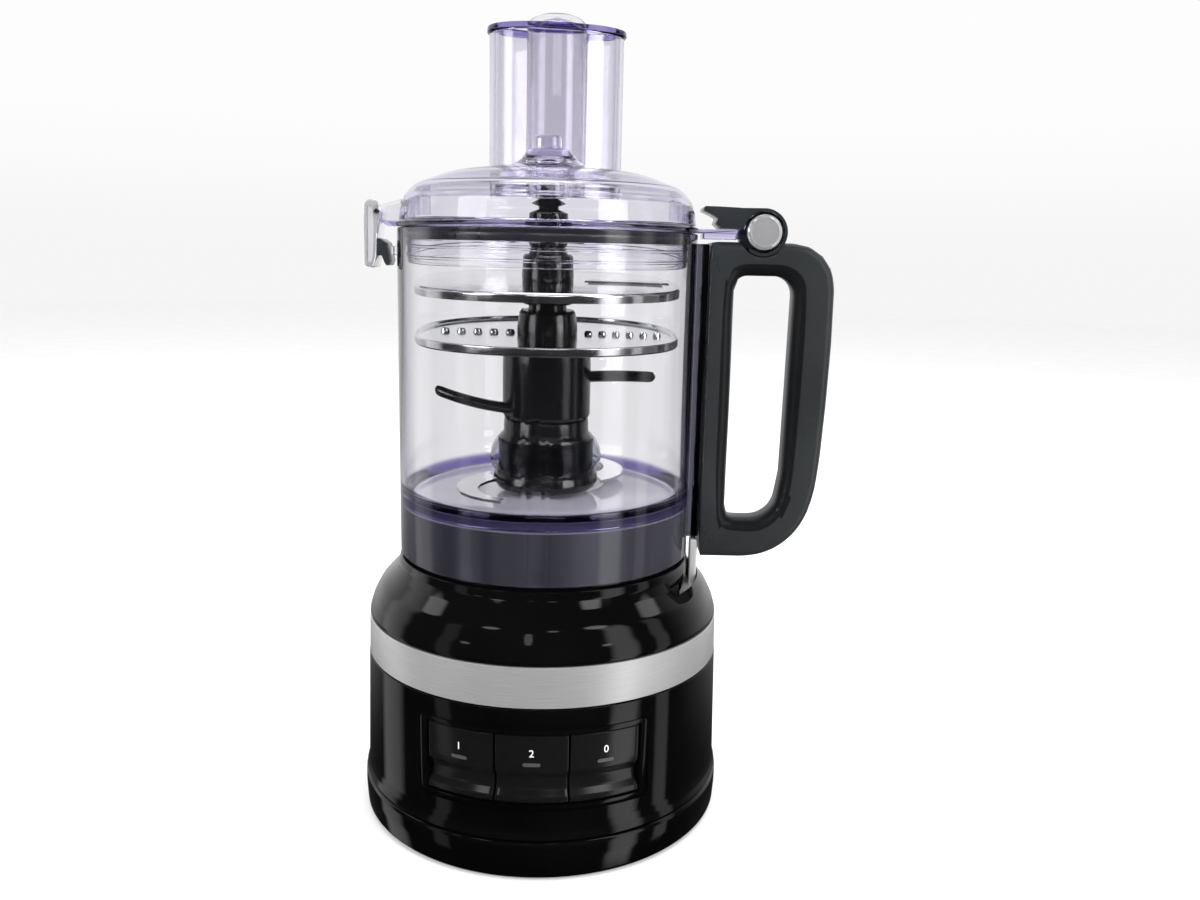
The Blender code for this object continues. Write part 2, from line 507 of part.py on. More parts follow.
# -------------------------------------------------- accessories on the stem
stem = finish("drive_stem", revolve_bm(
    [(11.0, 179.6), (14.4, 179.6), (14.4, 253.6), (10.4, 255.2), (10.4, 327.4),
     (4.6, 330.2), (9.4, 332.6), (3.7, 334.8), (3.7, 336.4),
     (7.4, 336.6), (7.4, 338.0), (4.4, 338.4), (4.4, 339.4), (7.2, 339.6), (7.2, 342.3), (0, 342.3),
     (0, 264.6), (7.9, 264.6), (7.9, 244.5), (11.0, 244.5)], SEG_MID), BLACK, ax_tools)
for s in (-1, 1):
    lo, hi = sorted((s * 5.7, s * 8.4))
    boolean(stem, box_bm(-1.6, 1.6, lo, hi, 246.0, 262.0), "UNION")

finish("blade_hub", revolve_bm(
    [(14.8, 179.6), (27.6, 179.6), (30.4, 185.6), (28.4, 188.4), (31.0, 195.0),
     (28.4, 203.4), (24.9, 208.0), (22.4, 209.0), (22.4, 216.4), (14.8, 216.4)],
    SEG_MID), SMOKE, ax_tools)
for k, nm in enumerate(("blade_lower", "blade_upper")):
    # sickle blade: arc whose root starts just outside the hub
    o = arc_band(34.0, 17.0, math.radians(-62), math.radians(58), 0, 0, 8, 0.28)
    bm = prism_bm(o, 0.0, 1.4)
    bmesh.ops.rotate(bm, verts=bm.verts, cent=(0, 0, 0), matrix=Matrix.Rotation(math.radians(-28), 3, "Z"))
    bmesh.ops.translate(bm, vec=(25.5, 25.0, 0), verts=bm.verts)
    bmesh.ops.rotate(bm, verts=bm.verts, cent=(0, 0, 0), matrix=Matrix.Rotation(math.radians(38 + 180 * k), 3, "Z"))
    bmesh.ops.translate(bm, vec=(0, 0, (180.6, 185.2)[k]), verts=bm.verts)
    blade = finish(nm, bm, STEEL, ax_tools)
    boolean(blade, cyl_bm(31.4, 170, 200, SEG_MID), "DIFFERENCE")

dough = finish("dough_blade", revolve_bm(
    [(14.8, 216.8), (23.6, 216.8), (24.4, 218.6), (24.4, 254.0), (14.8, 254.0)], SEG_MID),
    SMOKE, ax_tools)
for k, (z, lift) in enumerate(((219.6, 9.0), (233.6, 1.5))):
    # arms run outward from the hub, sweep back and rise a little towards the tip
    left, right = [], []
    for i in range(8):
        t = i / 7.0
        r, a = 19.0 + 42.0 * t, math.radians(214 - 27 * t)
        da = math.atan2(-math.radians(27) * r, 42.0)
        w = (11.5 - 6.0 * t ** 1.6) / 2
        nx, ny = -math.sin(a + da), math.cos(a + da)
        left.append((r * math.cos(a) + nx * w, r * math.sin(a) + ny * w))
        right.append((r * math.cos(a) - nx * w, r * math.sin(a) - ny * w))
    bm = prism_bm(left + right[::-1], 0.0, 5.8)
    for v in bm.verts:
        v.co.z += lift * (max(0.0, (v.co.xy.length - 20.0) / 42.0)) ** 1.4
    bmesh.ops.rotate(bm, verts=bm.verts, cent=(0, 0, 0), matrix=Matrix.Rotation(math.radians(180 * k), 3, "Z"))
    bmesh.ops.translate(bm, vec=(0, 0, z), verts=bm.verts)
    boolean(dough, bm, "UNION")
boolean(dough, cyl_bm(14.8, 200, 270, SEG_MID), "DIFFERENCE")

finish("shredding_hub", revolve_bm([(10.8, 256.0), (16.3, 256.0), (16.3, 273.0), (10.8, 273.0)],
                                   SEG_MID), BLACK, ax_tools)
finish("shredding_disc", revolve_bm(
    [(16.8, 261.1), (70.6, 261.1), (70.9, 257.8), (R_DISC, 257.8), (R_DISC, Z_DISC2), (16.8, Z_DISC2)],
    SEG_BIG), STEEL, ax_tools)
finish("slicing_hub", revolve_bm([(10.8, 276.0), (13.8, 276.0), (13.8, 303.0), (10.8, 303.0)], SEG_MID),
       BLACK, ax_tools)
disc = finish("slicing_disc", revolve_bm(
    [(14.3, 286.8), (70.6, 286.8), (70.9, 283.3), (R_DISC, 283.3), (R_DISC, Z_DISC1), (14.3, Z_DISC1)],
    SEG_BIG), STEEL, ax_tools)
boolean(disc, box_bm(20, 66, -6, 5, 280, 292), "DIFFERENCE")
finish("slicing_blade", prism_bm([(-9.5, 288.4), (5.4, 289.4), (5.4, 290.2), (-9.5, 289.2)], 20.5, 65.5, "X"),
       STEEL, ax_tools)
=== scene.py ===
import math

import bmesh
import bpy
from mathutils import Matrix, Vector


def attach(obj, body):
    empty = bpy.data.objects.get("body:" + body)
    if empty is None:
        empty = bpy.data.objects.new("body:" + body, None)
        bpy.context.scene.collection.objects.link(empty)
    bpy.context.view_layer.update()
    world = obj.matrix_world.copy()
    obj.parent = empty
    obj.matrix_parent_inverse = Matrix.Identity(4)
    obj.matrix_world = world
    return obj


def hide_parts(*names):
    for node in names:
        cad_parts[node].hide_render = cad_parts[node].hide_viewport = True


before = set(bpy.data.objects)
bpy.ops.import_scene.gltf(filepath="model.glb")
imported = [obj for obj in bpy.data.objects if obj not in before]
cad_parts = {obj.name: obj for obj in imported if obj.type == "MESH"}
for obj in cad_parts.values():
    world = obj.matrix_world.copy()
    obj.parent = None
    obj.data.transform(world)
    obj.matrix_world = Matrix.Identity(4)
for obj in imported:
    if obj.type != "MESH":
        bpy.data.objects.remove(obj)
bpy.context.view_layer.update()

MM = 0.001
SEG = 128                                   # round steps of the big turned pieces

# shared sizes, millimetres, the same as the frame's
HX, HZ = 113.9, 320.4                       # lid hinge axis
LX, LZ = -89.5, 327.0                       # latch axis
TX, TY, YAW = 1.5, 39.0, math.radians(10)   # feed tube centre and turn
TA, TB = 37.4, 22.0
STEP_DEG, HALF_DEG = 22.0, 10.7


# ------------------------------------------------------------------ mesh code
def fillet(points, steps=5, closed=True):
    """Corners (x, y, r) of a loop, each rounded with radius r."""
    out = []
    n = len(points)
    for i, p in enumerate(points):
        r = p[2] if len(p) > 2 else 0.0
        if r <= 0:
            out.append((p[0], p[1]))
            continue
        P = Vector((p[0], p[1]))
        A = (Vector(points[i - 1][:2]) - P)
        B = (Vector(points[(i + 1) % n][:2]) - P)
        la, lb = A.length, B.length
        A.normalize()
        B.normalize()
        half = math.acos(max(-1, min(1, A.dot(B)))) / 2
        if half > math.radians(89.3) or half < 0.02:
            out.append((p[0], p[1]))
            continue
        t = min(r / math.tan(half), la * 0.49, lb * 0.49)
        rr = t * math.tan(half)
        c = P + (A + B).normalized() * (rr / math.sin(half))
        a0 = (P + A * t) - c
        a1 = (P + B * t) - c
        s = math.atan2(a0.y, a0.x)
        e = math.atan2(a1.y, a1.x)
        d = (e - s + math.pi) % (2 * math.pi) - math.pi
        for k in range(steps + 1):
            a = s + d * k / steps
            out.append((c.x + rr * math.cos(a), c.y + rr * math.sin(a)))
    return out


def lathe(profile, seg=SEG, at=(0, 0), steps=5):
    """Closed profile of (r, z[, fillet]) turned about Z."""
    pts = fillet(profile, steps)
    bm = bmesh.new()
    rings = []
    for r, z in pts:
        if r < 1e-5:
            rings.append([bm.verts.new((at[0], at[1], z))])
        else:
            rings.append([bm.verts.new((at[0] + r * math.cos(2 * math.pi * i / seg),
                                        at[1] + r * math.sin(2 * math.pi * i / seg), z)) for i in range(seg)])
    for k in range(len(rings)):
        A, B = rings[k], rings[(k + 1) % len(rings)]
        for i in range(seg):
            j = (i + 1) % seg
            if len(A) == 1 and len(B) == 1:
                break
            if len(A) == 1:
                bm.faces.new((A[0], B[j], B[i]))
            elif len(B) == 1:
                bm.faces.new((A[i], A[j], B[0]))
            else:
                bm.faces.new((A[i], A[j], B[j], B[i]))
    bmesh.ops.recalc_face_normals(bm, faces=bm.faces)
    return bm


def prism(outline, lo, hi, axis="Z"):
    bm = bmesh.new()
    put = {"Z": lambda a, b, c: (a, b, c), "Y": lambda a, b, c: (a, c, b), "X": lambda a, b, c: (c, a, b)}[axis]
    A = [bm.verts.new(put(x, y, lo)) for x, y in outline]
    B = [bm.verts.new(put(x, y, hi)) for x, y in outline]
    n = len(outline)
    bm.faces.new(A)
    bm.faces.new(B)
    for i in range(n):
        bm.faces.new((A[i], A[(i + 1) % n], B[(i + 1) % n], B[i]))
    bmesh.ops.recalc_face_normals(bm, faces=bm.faces)
    return bm


def block(x0, x1, y0, y1, z0, z1, bevel=0.0, seg=3):
    bm = prism([(x0, y0), (x1, y0), (x1, y1), (x0, y1)], z0, z1)
    if bevel:
        bmesh.ops.bevel(bm, geom=bm.edges[:], offset=bevel, segments=seg, profile=0.5, affect="EDGES")
    return bm


def rod(r, lo, hi, axis="Z", at=(0, 0), seg=48, chamfer=0.0):
    c = [(at[0] + r * math.cos(2 * math.pi * i / seg), at[1] + r * math.sin(2 * math.pi * i / seg)) for i in range(seg)]
    bm = prism(c, lo, hi, axis)
    if chamfer:
        rim(bm, axis, chamfer, 3)
    return bm


def rim(bm, axis, width, seg=4, keep=None):
    """Round the rims of a prism's two ends."""
    k = "XYZ".index(axis)
    es = []
    for e in bm.edges:
        a, b = e.verts
        if abs(a.co[k] - b.co[k]) < 1e-5 and (keep is None or keep(e)):
            es.append(e)
    bmesh.ops.bevel(bm, geom=es, offset=width, segments=seg, profile=0.5, affect="EDGES", clamp_overlap=True)


def soften(bm, width, angle=30, seg=2):
    es = [e for e in bm.edges if len(e.link_faces) == 2 and e.calc_face_angle(0) > math.radians(angle)]
    bmesh.ops.bevel(bm, geom=es, offset=width, segments=seg, profile=0.5, affect="EDGES", clamp_overlap=True)


def temp(bm):
    me = bpy.data.meshes.new("t")
    bm.to_mesh(me)
    ob = bpy.data.objects.new("t", me)
    bpy.context.scene.collection.objects.link(ob)
    return ob


def solid(bm, *others):
    """Boolean: others are (bmesh, 'UNION' or 'DIFFERENCE'). Returns a new bmesh."""
    ob = temp(bm)
    tools = []
    for o, op in others:
        t = temp(o)
        tools.append(t)
        m = ob.modifiers.new("b", "BOOLEAN")
        m.operation = op
        m.solver = "EXACT"
        m.object = t
    dg = bpy.context.evaluated_depsgraph_get()
    me = bpy.data.meshes.new_from_object(ob.evaluated_get(dg))
    out = bmesh.new()
    out.from_mesh(me)
    for t in tools + [ob]:
        d = t.data
        bpy.data.objects.remove(t)
        bpy.data.meshes.remove(d)
    bpy.data.meshes.remove(me)
    bmesh.ops.remove_doubles(out, verts=out.verts, dist=0.0004)
    return out


def slices(bm, lo, hi, n, axis=0):
    """Cut planes across a flat part before it is wrapped round a cylinder."""
    no = Vector([0, 0, 0])
    no[axis] = 1
    for i in range(1, n):
        co = Vector([0, 0, 0])
        co[axis] = lo + (hi - lo) * i / n
        bmesh.ops.bisect_plane(bm, geom=bm.verts[:] + bm.edges[:] + bm.faces[:], dist=1e-5, plane_co=co, plane_no=no)


def wrap(bm, radius, centre_deg=-90.0):
    """x is the distance along the arc, y the radius, z the height."""
    for v in bm.verts:
        a = math.radians(centre_deg) + v.co.x / radius
        r = v.co.y
        v.co.x, v.co.y = r * math.cos(a), r * math.sin(a)
    bmesh.ops.recalc_face_normals(bm, faces=bm.faces)
    return bm


def merge(*bms):
    out = bmesh.new()
    for b in bms:
        me = bpy.data.meshes.new("t")
        b.to_mesh(me)
        out.from_mesh(me)
        bpy.data.meshes.remove(me)
    return out


def move(bm, x=0, y=0, z=0, rot=0.0):
    if rot:
        bmesh.ops.rotate(bm, verts=bm.verts, cent=(0, 0, 0), matrix=Matrix.Rotation(rot, 3, "Z"))
    bmesh.ops.translate(bm, vec=(x, y, z), verts=bm.verts)
    return bm


def piece(name, bm, mats, body, node=None, sharp=32, smooth=True):
    """Turn a millimetre bmesh into a finished piece in metres that rides on a body."""
    bmesh.ops.scale(bm, vec=(MM, MM, MM), verts=bm.verts)
    me = bpy.data.meshes.new(name)
    bm.to_mesh(me)
    bm.free()
    if smooth:
        me.shade_smooth()
        me.set_sharp_from_angle(angle=math.radians(sharp))
    for m in (mats if isinstance(mats, (list, tuple)) else [mats]):
        me.materials.append(m)
    ob = bpy.data.objects.new(name, me)
    bpy.context.scene.collection.objects.link(ob)
    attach(ob, body)
    if node:
        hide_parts(*([node] if isinstance(node, str) else node))
    return ob


# ------------------------------------------------------------------ materials
class Mat:
    """Small helper round one node tree."""

    def __init__(self, name, **sockets):
        self.m = bpy.data.materials.new(name)
        self.m.use_nodes = True
        self.t = self.m.node_tree
        self.p = self.t.nodes["Principled BSDF"]
        for k, v in sockets.items():
            self.p.inputs[k.replace("_", " ")].default_value = v
        self.tc = self.t.nodes.new("ShaderNodeTexCoord")

    def node(self, kind, **props):
        n = self.t.nodes.new("ShaderNode" + kind)
        for k, v in props.items():
            setattr(n, k, v)
        return n

    def link(self, a, b):
        self.t.links.new(a, b)

    def coords(self, scale=(1, 1, 1), polar=False):
        """Object coordinates in metres, scaled. polar gives (angle, radius, height)."""
        src = self.tc.outputs["Object"]
        if polar:
            sep = self.node("SeparateXYZ")
            self.link(src, sep.inputs[0])
            ang = self.node("Math", operation="ARCTAN2")
            self.link(sep.outputs[1], ang.inputs[0])
            self.link(sep.outputs[0], ang.inputs[1])
            xx = self.node("Math", operation="MULTIPLY")
            self.link(sep.outputs[0], xx.inputs[0])
            self.link(sep.outputs[0], xx.inputs[1])
            yy = self.node("Math", operation="MULTIPLY_ADD")
            self.link(sep.outputs[1], yy.inputs[0])
            self.link(sep.outputs[1], yy.inputs[1])
            self.link(xx.outputs[0], yy.inputs[2])
            rad = self.node("Math", operation="SQRT")
            self.link(yy.outputs[0], rad.inputs[0])
            com = self.node("CombineXYZ")
            self.link(ang.outputs[0], com.inputs[0])
            self.link(rad.outputs[0], com.inputs[1])
            self.link(sep.outputs[2], com.inputs[2])
            src = com.outputs[0]
        mp = self.node("Mapping")
        mp.inputs["Scale"].default_value = scale
        self.link(src, mp.inputs["Vector"])
        return mp.outputs[0]

    def noise(self, vec, scale, detail=3.0, rough=0.5):
        n = self.node("TexNoise")
        n.inputs["Scale"].default_value = scale
        n.inputs["Detail"].default_value = detail
        n.inputs["Roughness"].default_value = rough
        self.link(vec, n.inputs["Vector"])
        return n.outputs["Fac"]

    def remap(self, fac, a0, a1, b0, b1):
        n = self.node("MapRange")
        for k, v in zip(("From Min", "From Max", "To Min", "To Max"), (a0, a1, b0, b1)):
            n.inputs[k].default_value = v
        self.link(fac, n.inputs["Value"])
        return n.outputs["Result"]

    def mix(self, fac, a, b):
        n = self.node("Mix", data_type="RGBA")
        n.inputs["A"].default_value = (*a, 1)
        n.inputs["B"].default_value = (*b, 1)
        self.link(fac, n.inputs["Factor"])
        return n.outputs["Result"]

    def colour(self, fac, a, b):
        self.link(self.mix(fac, a, b), self.p.inputs["Base Color"])

    def rough(self, fac, lo, hi, a0=0.3, a1=0.7):
        self.link(self.remap(fac, a0, a1, lo, hi), self.p.inputs["Roughness"])

    def bump(self, fac, height, strength=0.3):
        b = self.node("Bump")
        b.inputs["Strength"].default_value = strength
        b.inputs["Distance"].default_value = height
        self.link(fac, b.inputs["Height"])
        self.link(b.outputs[0], self.p.inputs["Normal"])

    def worn(self, fac_colour):
        """Slightly lighter, rubbed edges from the mesh's own convexity."""
        g = self.node("NewGeometry")
        e = self.remap(g.outputs["Pointiness"], 0.52, 0.62, 0.0, 1.0)
        n = self.noise(self.coords(), 180.0, 4.0)
        k = self.node("Math", operation="MULTIPLY")
        self.link(e, k.inputs[0])
        self.link(n, k.inputs[1])
        return k.outputs[0]


def plastic(name, base, light, r0, r1, grain=900.0, height=0.00004, strength=0.12, spec=0.5, wear=None):
    m = Mat(name)
    m.p.inputs["Specular IOR Level"].default_value = spec
    v = m.coords()
    big = m.noise(v, 14.0, 4.0)
    fine = m.noise(v, grain, 3.0, 0.6)
    if wear:
        w = m.worn(None)
        mixed = m.node("Mix", data_type="RGBA")
        m.link(w, mixed.inputs["Factor"])
        m.link(m.mix(m.remap(big, 0.35, 0.7, 0, 1), base, light), mixed.inputs["A"])
        mixed.inputs["B"].default_value = (*wear, 1)
        m.link(mixed.outputs["Result"], m.p.inputs["Base Color"])
    else:
        m.colour(m.remap(big, 0.35, 0.7, 0, 1), base, light)
    smear = m.noise(m.coords((1, 1, 0.45)), 30.0, 6.0, 0.62)
    m.rough(smear, r0, r1)
    m.bump(fine, height, strength)
    return m.m


def metal(name, base, light, r0, r1, scale, polar=False, freq=1.0, height=0.00003, strength=0.2, aniso=0.0):
    m = Mat(name, Metallic=1.0)
    m.p.inputs["Anisotropic"].default_value = aniso
    lines = m.noise(m.coords(scale, polar), freq, 3.0, 0.65)
    cloud = m.noise(m.coords(), 22.0, 4.0)
    m.colour(m.remap(lines, 0.3, 0.7, 0, 1), base, light)
    both = m.node("Math", operation="MULTIPLY_ADD")
    both.inputs[1].default_value = 0.6
    m.link(lines, both.inputs[0])
    half = m.node("Math", operation="MULTIPLY")
    half.inputs[1].default_value = 0.4
    m.link(cloud, half.inputs[0])
    m.link(half.outputs[0], both.inputs[2])
    m.rough(both.outputs[0], r0, r1)
    m.bump(lines, height, strength)
    return m.m


def clear(name, body, edge, k0, k1, rough=0.015, ior=1.47, shade=0.93, wav=0.00002, tint=(0.45, 0.36, 0.78), density=30.0, frost=False, band=None):
    """Clear moulded plastic: light body, coloured towards grazing edges and with depth, faint moulding waves."""
    m = Mat(name)
    p = m.p
    p.inputs["Transmission Weight"].default_value = 1.0
    p.inputs["IOR"].default_value = ior
    lw = m.node("LayerWeight")
    lw.inputs["Blend"].default_value = 0.5
    f = m.remap(lw.outputs["Facing"], k0, k1, 0.0, 1.0)
    col = m.mix(f, body, edge)
    if frost:
        # the inner floor is a little milky, more so in its outer ring
        sep = m.node("SeparateXYZ")
        m.link(m.coords((1, 1, 1), True), sep.inputs[0])
        up = m.remap(sep.outputs[2], 0.1745, 0.1755, 0.0, 1.0)
        dn = m.remap(sep.outputs[2], 0.1775, 0.1785, 1.0, 0.0)
        rin = m.remap(sep.outputs[1], 0.0715, 0.0735, 1.0, 0.0)
        k1n = m.node("Math", operation="MULTIPLY")
        k2n = m.node("Math", operation="MULTIPLY")
        m.link(up, k1n.inputs[0])
        m.link(dn, k1n.inputs[1])
        m.link(k1n.outputs[0], k2n.inputs[0])
        m.link(rin, k2n.inputs[1])
        cloud = m.remap(m.noise(m.coords(), 30.0, 4.0), 0.3, 0.7, 0.85, 1.0)
        k3 = m.node("Math", operation="MULTIPLY")
        m.link(k2n.outputs[0], k3.inputs[0])
        m.link(cloud, k3.inputs[1])
        both = m.node("Mix", data_type="RGBA")
        m.link(k2n.outputs[0], both.inputs["Factor"])
        m.link(col, both.inputs["A"])
        both.inputs["B"].default_value = (0.64, 0.62, 0.69, 1)
        # light gathered in the thick corner under the floor, and the skirt below it darker and hazy, with painted
        # vertical reflection streaks
        lo = m.remap(sep.outputs[2], 0.1726, 0.1736, 0.0, 1.0)
        hi = m.remap(sep.outputs[2], 0.1800, 0.1830, 1.0, 0.0)
        ro = m.remap(sep.outputs[1], 0.0722, 0.0732, 0.0, 1.0)
        k4 = m.node("Math", operation="MULTIPLY")
        k5 = m.node("Math", operation="MULTIPLY")
        m.link(lo, k4.inputs[0])
        m.link(hi, k4.inputs[1])
        m.link(k4.outputs[0], k5.inputs[0])
        m.link(ro, k5.inputs[1])
        ring = m.node("Mix", data_type="RGBA")
        m.link(k5.outputs[0], ring.inputs["Factor"])
        m.link(both.outputs["Result"], ring.inputs["A"])
        ring.inputs["B"].default_value = (0.20, 0.17, 0.42, 1)
        skirt = m.node("Mix", data_type="RGBA")
        m.link(m.remap(sep.outputs[2], 0.1725, 0.1735, 1.0, 0.0), skirt.inputs["Factor"])
        m.link(ring.outputs["Result"], skirt.inputs["A"])
        # painted reflection: lighter vertical streaks over the dark skirt
        reflection_streak = m.remap(m.noise(m.coords((1, 1, 0.02)), 34.0, 2.0), 0.36, 0.66, 0.0, 1.0)
        m.link(m.mix(reflection_streak, (0.040, 0.040, 0.052), (0.105, 0.105, 0.130)), skirt.inputs["B"])
        col = skirt.outputs["Result"]
        low = m.remap(sep.outputs[2], 0.1725, 0.1735, 0.66, 1.0)
        cut = m.node("Math", operation="MULTIPLY")
        m.link(low, cut.inputs[0])
        m.link(m.remap(k3.outputs[0], 0.0, 1.0, 1.0, 0.42), cut.inputs[1])
        m.link(cut.outputs[0], m.p.inputs["Transmission Weight"])
    if band:
        # depth of colour along a thick edge between two heights
        z0, z1, deep = band
        sepz = m.node("SeparateXYZ")
        m.link(m.coords(), sepz.inputs[0])
        k = m.node("Math", operation="MULTIPLY")
        m.link(m.remap(sepz.outputs[2], z0 - 0.0004, z0, 0.0, 1.0), k.inputs[0])
        m.link(m.remap(sepz.outputs[2], z1, z1 + 0.0004, 1.0, 0.0), k.inputs[1])
        bandm = m.node("Mix", data_type="RGBA")
        m.link(k.outputs[0], bandm.inputs["Factor"])
        m.link(col, bandm.inputs["A"])
        bandm.inputs["B"].default_value = (*deep, 1)
        col = bandm.outputs["Result"]
    m.link(col, p.inputs["Base Color"])
    smear = m.noise(m.coords((1, 1, 0.5)), 24.0, 5.0, 0.6)
    m.rough(smear, rough * 0.4, rough * 1.9)
    m.bump(m.noise(m.coords((1, 1, 0.3)), 46.0, 1.0), wav, 0.25)
    # lamps reach what stands inside the clear wall
    out = m.t.nodes["Material Output"]
    lp = m.node("LightPath")
    tr = m.node("BsdfTransparent")
    tr.inputs["Color"].default_value = (shade, shade, min(1.0, shade * 1.02), 1)
    mx = m.node("MixShader")
    m.link(lp.outputs["Is Shadow Ray"], mx.inputs[0])
    m.link(p.outputs[0], mx.inputs[1])
    m.link(tr.outputs[0], mx.inputs[2])
    m.link(mx.outputs[0], out.inputs["Surface"])
    if density:
        ab = m.node("VolumeAbsorption")
        ab.inputs["Color"].default_value = (*tint, 1)
        ab.inputs["Density"].default_value = density
        m.link(ab.outputs[0], out.inputs["Volume"])
    return m.m


GLOSS = plastic("gloss_black", (0.0010, 0.0010, 0.0011), (0.0018, 0.0018, 0.0020), 0.02, 0.06, 1400.0, 0.00001, 0.05, 0.42)
GLOSS2 = plastic("button_black", (0.0035, 0.0035, 0.0038), (0.0055, 0.0055, 0.006), 0.09, 0.18, 1600.0, 0.00002, 0.10, 0.45)
CHAR = plastic("charcoal", (0.0155, 0.0172, 0.0185), (0.0235, 0.026, 0.0275), 0.24, 0.36, 2200.0, 0.00006, 0.22, 0.45, wear=(0.06, 0.064, 0.068))
# darker copy of the charcoal: painted shade round the handle's inner opening
CHAR_SHADE = plastic("charcoal_painted_shade", (0.0045, 0.005, 0.0055), (0.0075, 0.0082, 0.009), 0.26, 0.38, 2200.0, 0.00006, 0.22, 0.3)
ARM = plastic("charcoal_gloss", (0.014, 0.016, 0.018), (0.022, 0.025, 0.028), 0.14, 0.26, 1600.0, 0.00003, 0.12, 0.5)
INNER = plastic("inner_grey", (0.05, 0.052, 0.055), (0.075, 0.078, 0.08), 0.4, 0.6, 700.0, 0.00008, 0.3)
RUBBER = plastic("rubber", (0.012, 0.012, 0.013), (0.022, 0.022, 0.024), 0.5, 0.75, 900.0, 0.00012, 0.4, 0.4)
GASKET = plastic("gasket", (0.008, 0.008, 0.010), (0.016, 0.016, 0.020), 0.22, 0.36, 900.0, 0.00006, 0.2, 0.5)
STEMB = plastic("stem_black", (0.0025, 0.0025, 0.003), (0.0045, 0.0045, 0.005), 0.10, 0.22, 1200.0, 0.00002, 0.1, 0.5)
BOARD = plastic("board", (0.010, 0.050, 0.025), (0.016, 0.075, 0.035), 0.35, 0.5, 500.0, 0.00006, 0.3)
LABEL = plastic("label_white", (0.62, 0.62, 0.62), (0.74, 0.74, 0.74), 0.4, 0.55, 900.0, 0.00002, 0.1)
LED = plastic("led_lens", (0.035, 0.035, 0.035), (0.06, 0.06, 0.06), 0.25, 0.4, 900.0, 0.00002, 0.1)
GREYSAT = plastic("grey_satin", (0.30, 0.30, 0.315), (0.38, 0.38, 0.39), 0.3, 0.42, 1200.0, 0.00003, 0.15)
BAND = metal("brushed_silver", (0.58, 0.58, 0.585), (0.74, 0.74, 0.745), 0.28, 0.44, (5.0, 1, 5200.0), True, 1.0, 0.00003, 0.16, 0.35)
BANDTAB = metal("silver_tab", (0.66, 0.66, 0.665), (0.78, 0.78, 0.785), 0.26, 0.40, (1500, 1500, 60), False, 1.0, 0.00002, 0.15, 0.2)
CAPS = metal("satin_chrome", (0.80, 0.80, 0.81), (0.88, 0.88, 0.89), 0.16, 0.26, (400, 20, 400), False, 1.0, 0.00001, 0.08, 0.0)
STEEL = metal("steel", (0.66, 0.67, 0.69), (0.80, 0.81, 0.83), 0.06, 0.16, (4.0, 3800.0, 8.0), True, 1.0, 0.00002, 0.15, 0.3)
BLADE = metal("blade_steel", (0.55, 0.56, 0.57), (0.72, 0.73, 0.74), 0.12, 0.26, (60, 2600, 60), False, 1.0, 0.00002, 0.14, 0.25)
CHROME = metal("chrome", (0.80, 0.80, 0.82), (0.90, 0.90, 0.915), 0.04, 0.10, (40, 40, 40), False, 3.0, 0.00001, 0.05, 0.0)
for mm, k in ((BAND, 0.74), (BANDTAB, 0.5), (CAPS, 0.8), (CHROME, 0.72)):
    mm.node_tree.nodes["Principled BSDF"].inputs["Metallic"].default_value = k
MOTOR = metal("motor_metal", (0.30, 0.30, 0.31), (0.42, 0.42, 0.43), 0.32, 0.5, (8.0, 60.0, 900.0), True, 1.0, 0.00003, 0.2, 0.1)
BRONZE = metal("bronze", (0.42, 0.27, 0.12), (0.55, 0.37, 0.18), 0.3, 0.45, (200, 200, 200), False, 4.0, 0.00004, 0.25, 0.0)
CLEAR = clear("clear_plastic", (0.984, 0.982, 0.991), (0.44, 0.40, 0.68), 0.62, 1.0, 0.012, density=9.0, frost=True)
CLEARLID = clear("clear_lid", (0.968, 0.962, 0.984), (0.36, 0.31, 0.64), 0.50, 1.0, 0.012, density=16.0, band=(0.3190, 0.3222, (0.62, 0.58, 0.80)))
CLEARTUBE = clear("clear_pusher", (0.978, 0.974, 0.988), (0.26, 0.21, 0.50), 0.62, 1.0, 0.012, density=16.0, band=(0.4254, 0.4286, (0.30, 0.25, 0.55)))
CLEARCAP = clear("clear_small_pusher", (0.992, 0.991, 0.995), (0.66, 0.64, 0.76), 0.66, 1.0, 0.012, 1.18, density=2.0)
SMOKE = clear("smoke_plastic", (0.72, 0.74, 0.78), (0.34, 0.35, 0.40), 0.45, 1.0, 0.05, 1.07, 0.8, 0.00005, density=0.0)
DARKCLEAR = clear("dark_flange", (0.10, 0.10, 0.135), (0.16, 0.15, 0.24), 0.3, 1.0, 0.05, 1.47, 0.3, 0.00003, density=0.0)

# ------------------------------------------------------------------ motor base
B, Z = "base", None
piece("plinth", lathe([(0, 0.6), (98.6, 0.6, 0.8), (100.3, 2.4, 2.0), (101.0, 12.0, 30), (100.9, 18.6, 0.8), (100.2, 20.2, 1.2),
                       (97.6, 21.1, 0.5), (96.9, 21.1, 0.2), (96.9, 4.6), (0, 4.6)], 160), GLOSS, B, "bottom_cover", 28)
for i in range(4):
    a = math.radians(45 + 90 * i)
    piece("foot_pad_%d" % (i + 1), lathe([(0, 0), (8.3, 0, 0.5), (9.0, 0.6, 0.4), (9.0, 2.0), (3.0, 2.0), (3.0, 5.0), (0, 5.0)],
                                         40, (84 * math.cos(a), 84 * math.sin(a))), RUBBER, B, "foot_%d" % (i + 1))

W = 36.0


def rrect(u0, u1, z0, z1, r, steps=6):
    return fillet([(u0, z0, r), (u1, z0, r), (u1, z1, r), (u0, z1, r)], steps)


def wrapped(outline_uz, r0, r1, n, R=98.0, deg=-90.0):
    """Plate drawn flat as (arc length, height), pressed to a cylinder between radii r0 and r1."""
    bm = prism(outline_uz, r0, r1, "Y")
    us = [p[0] for p in outline_uz]
    slices(bm, min(us), max(us), n)
    return wrap(bm, R, deg)


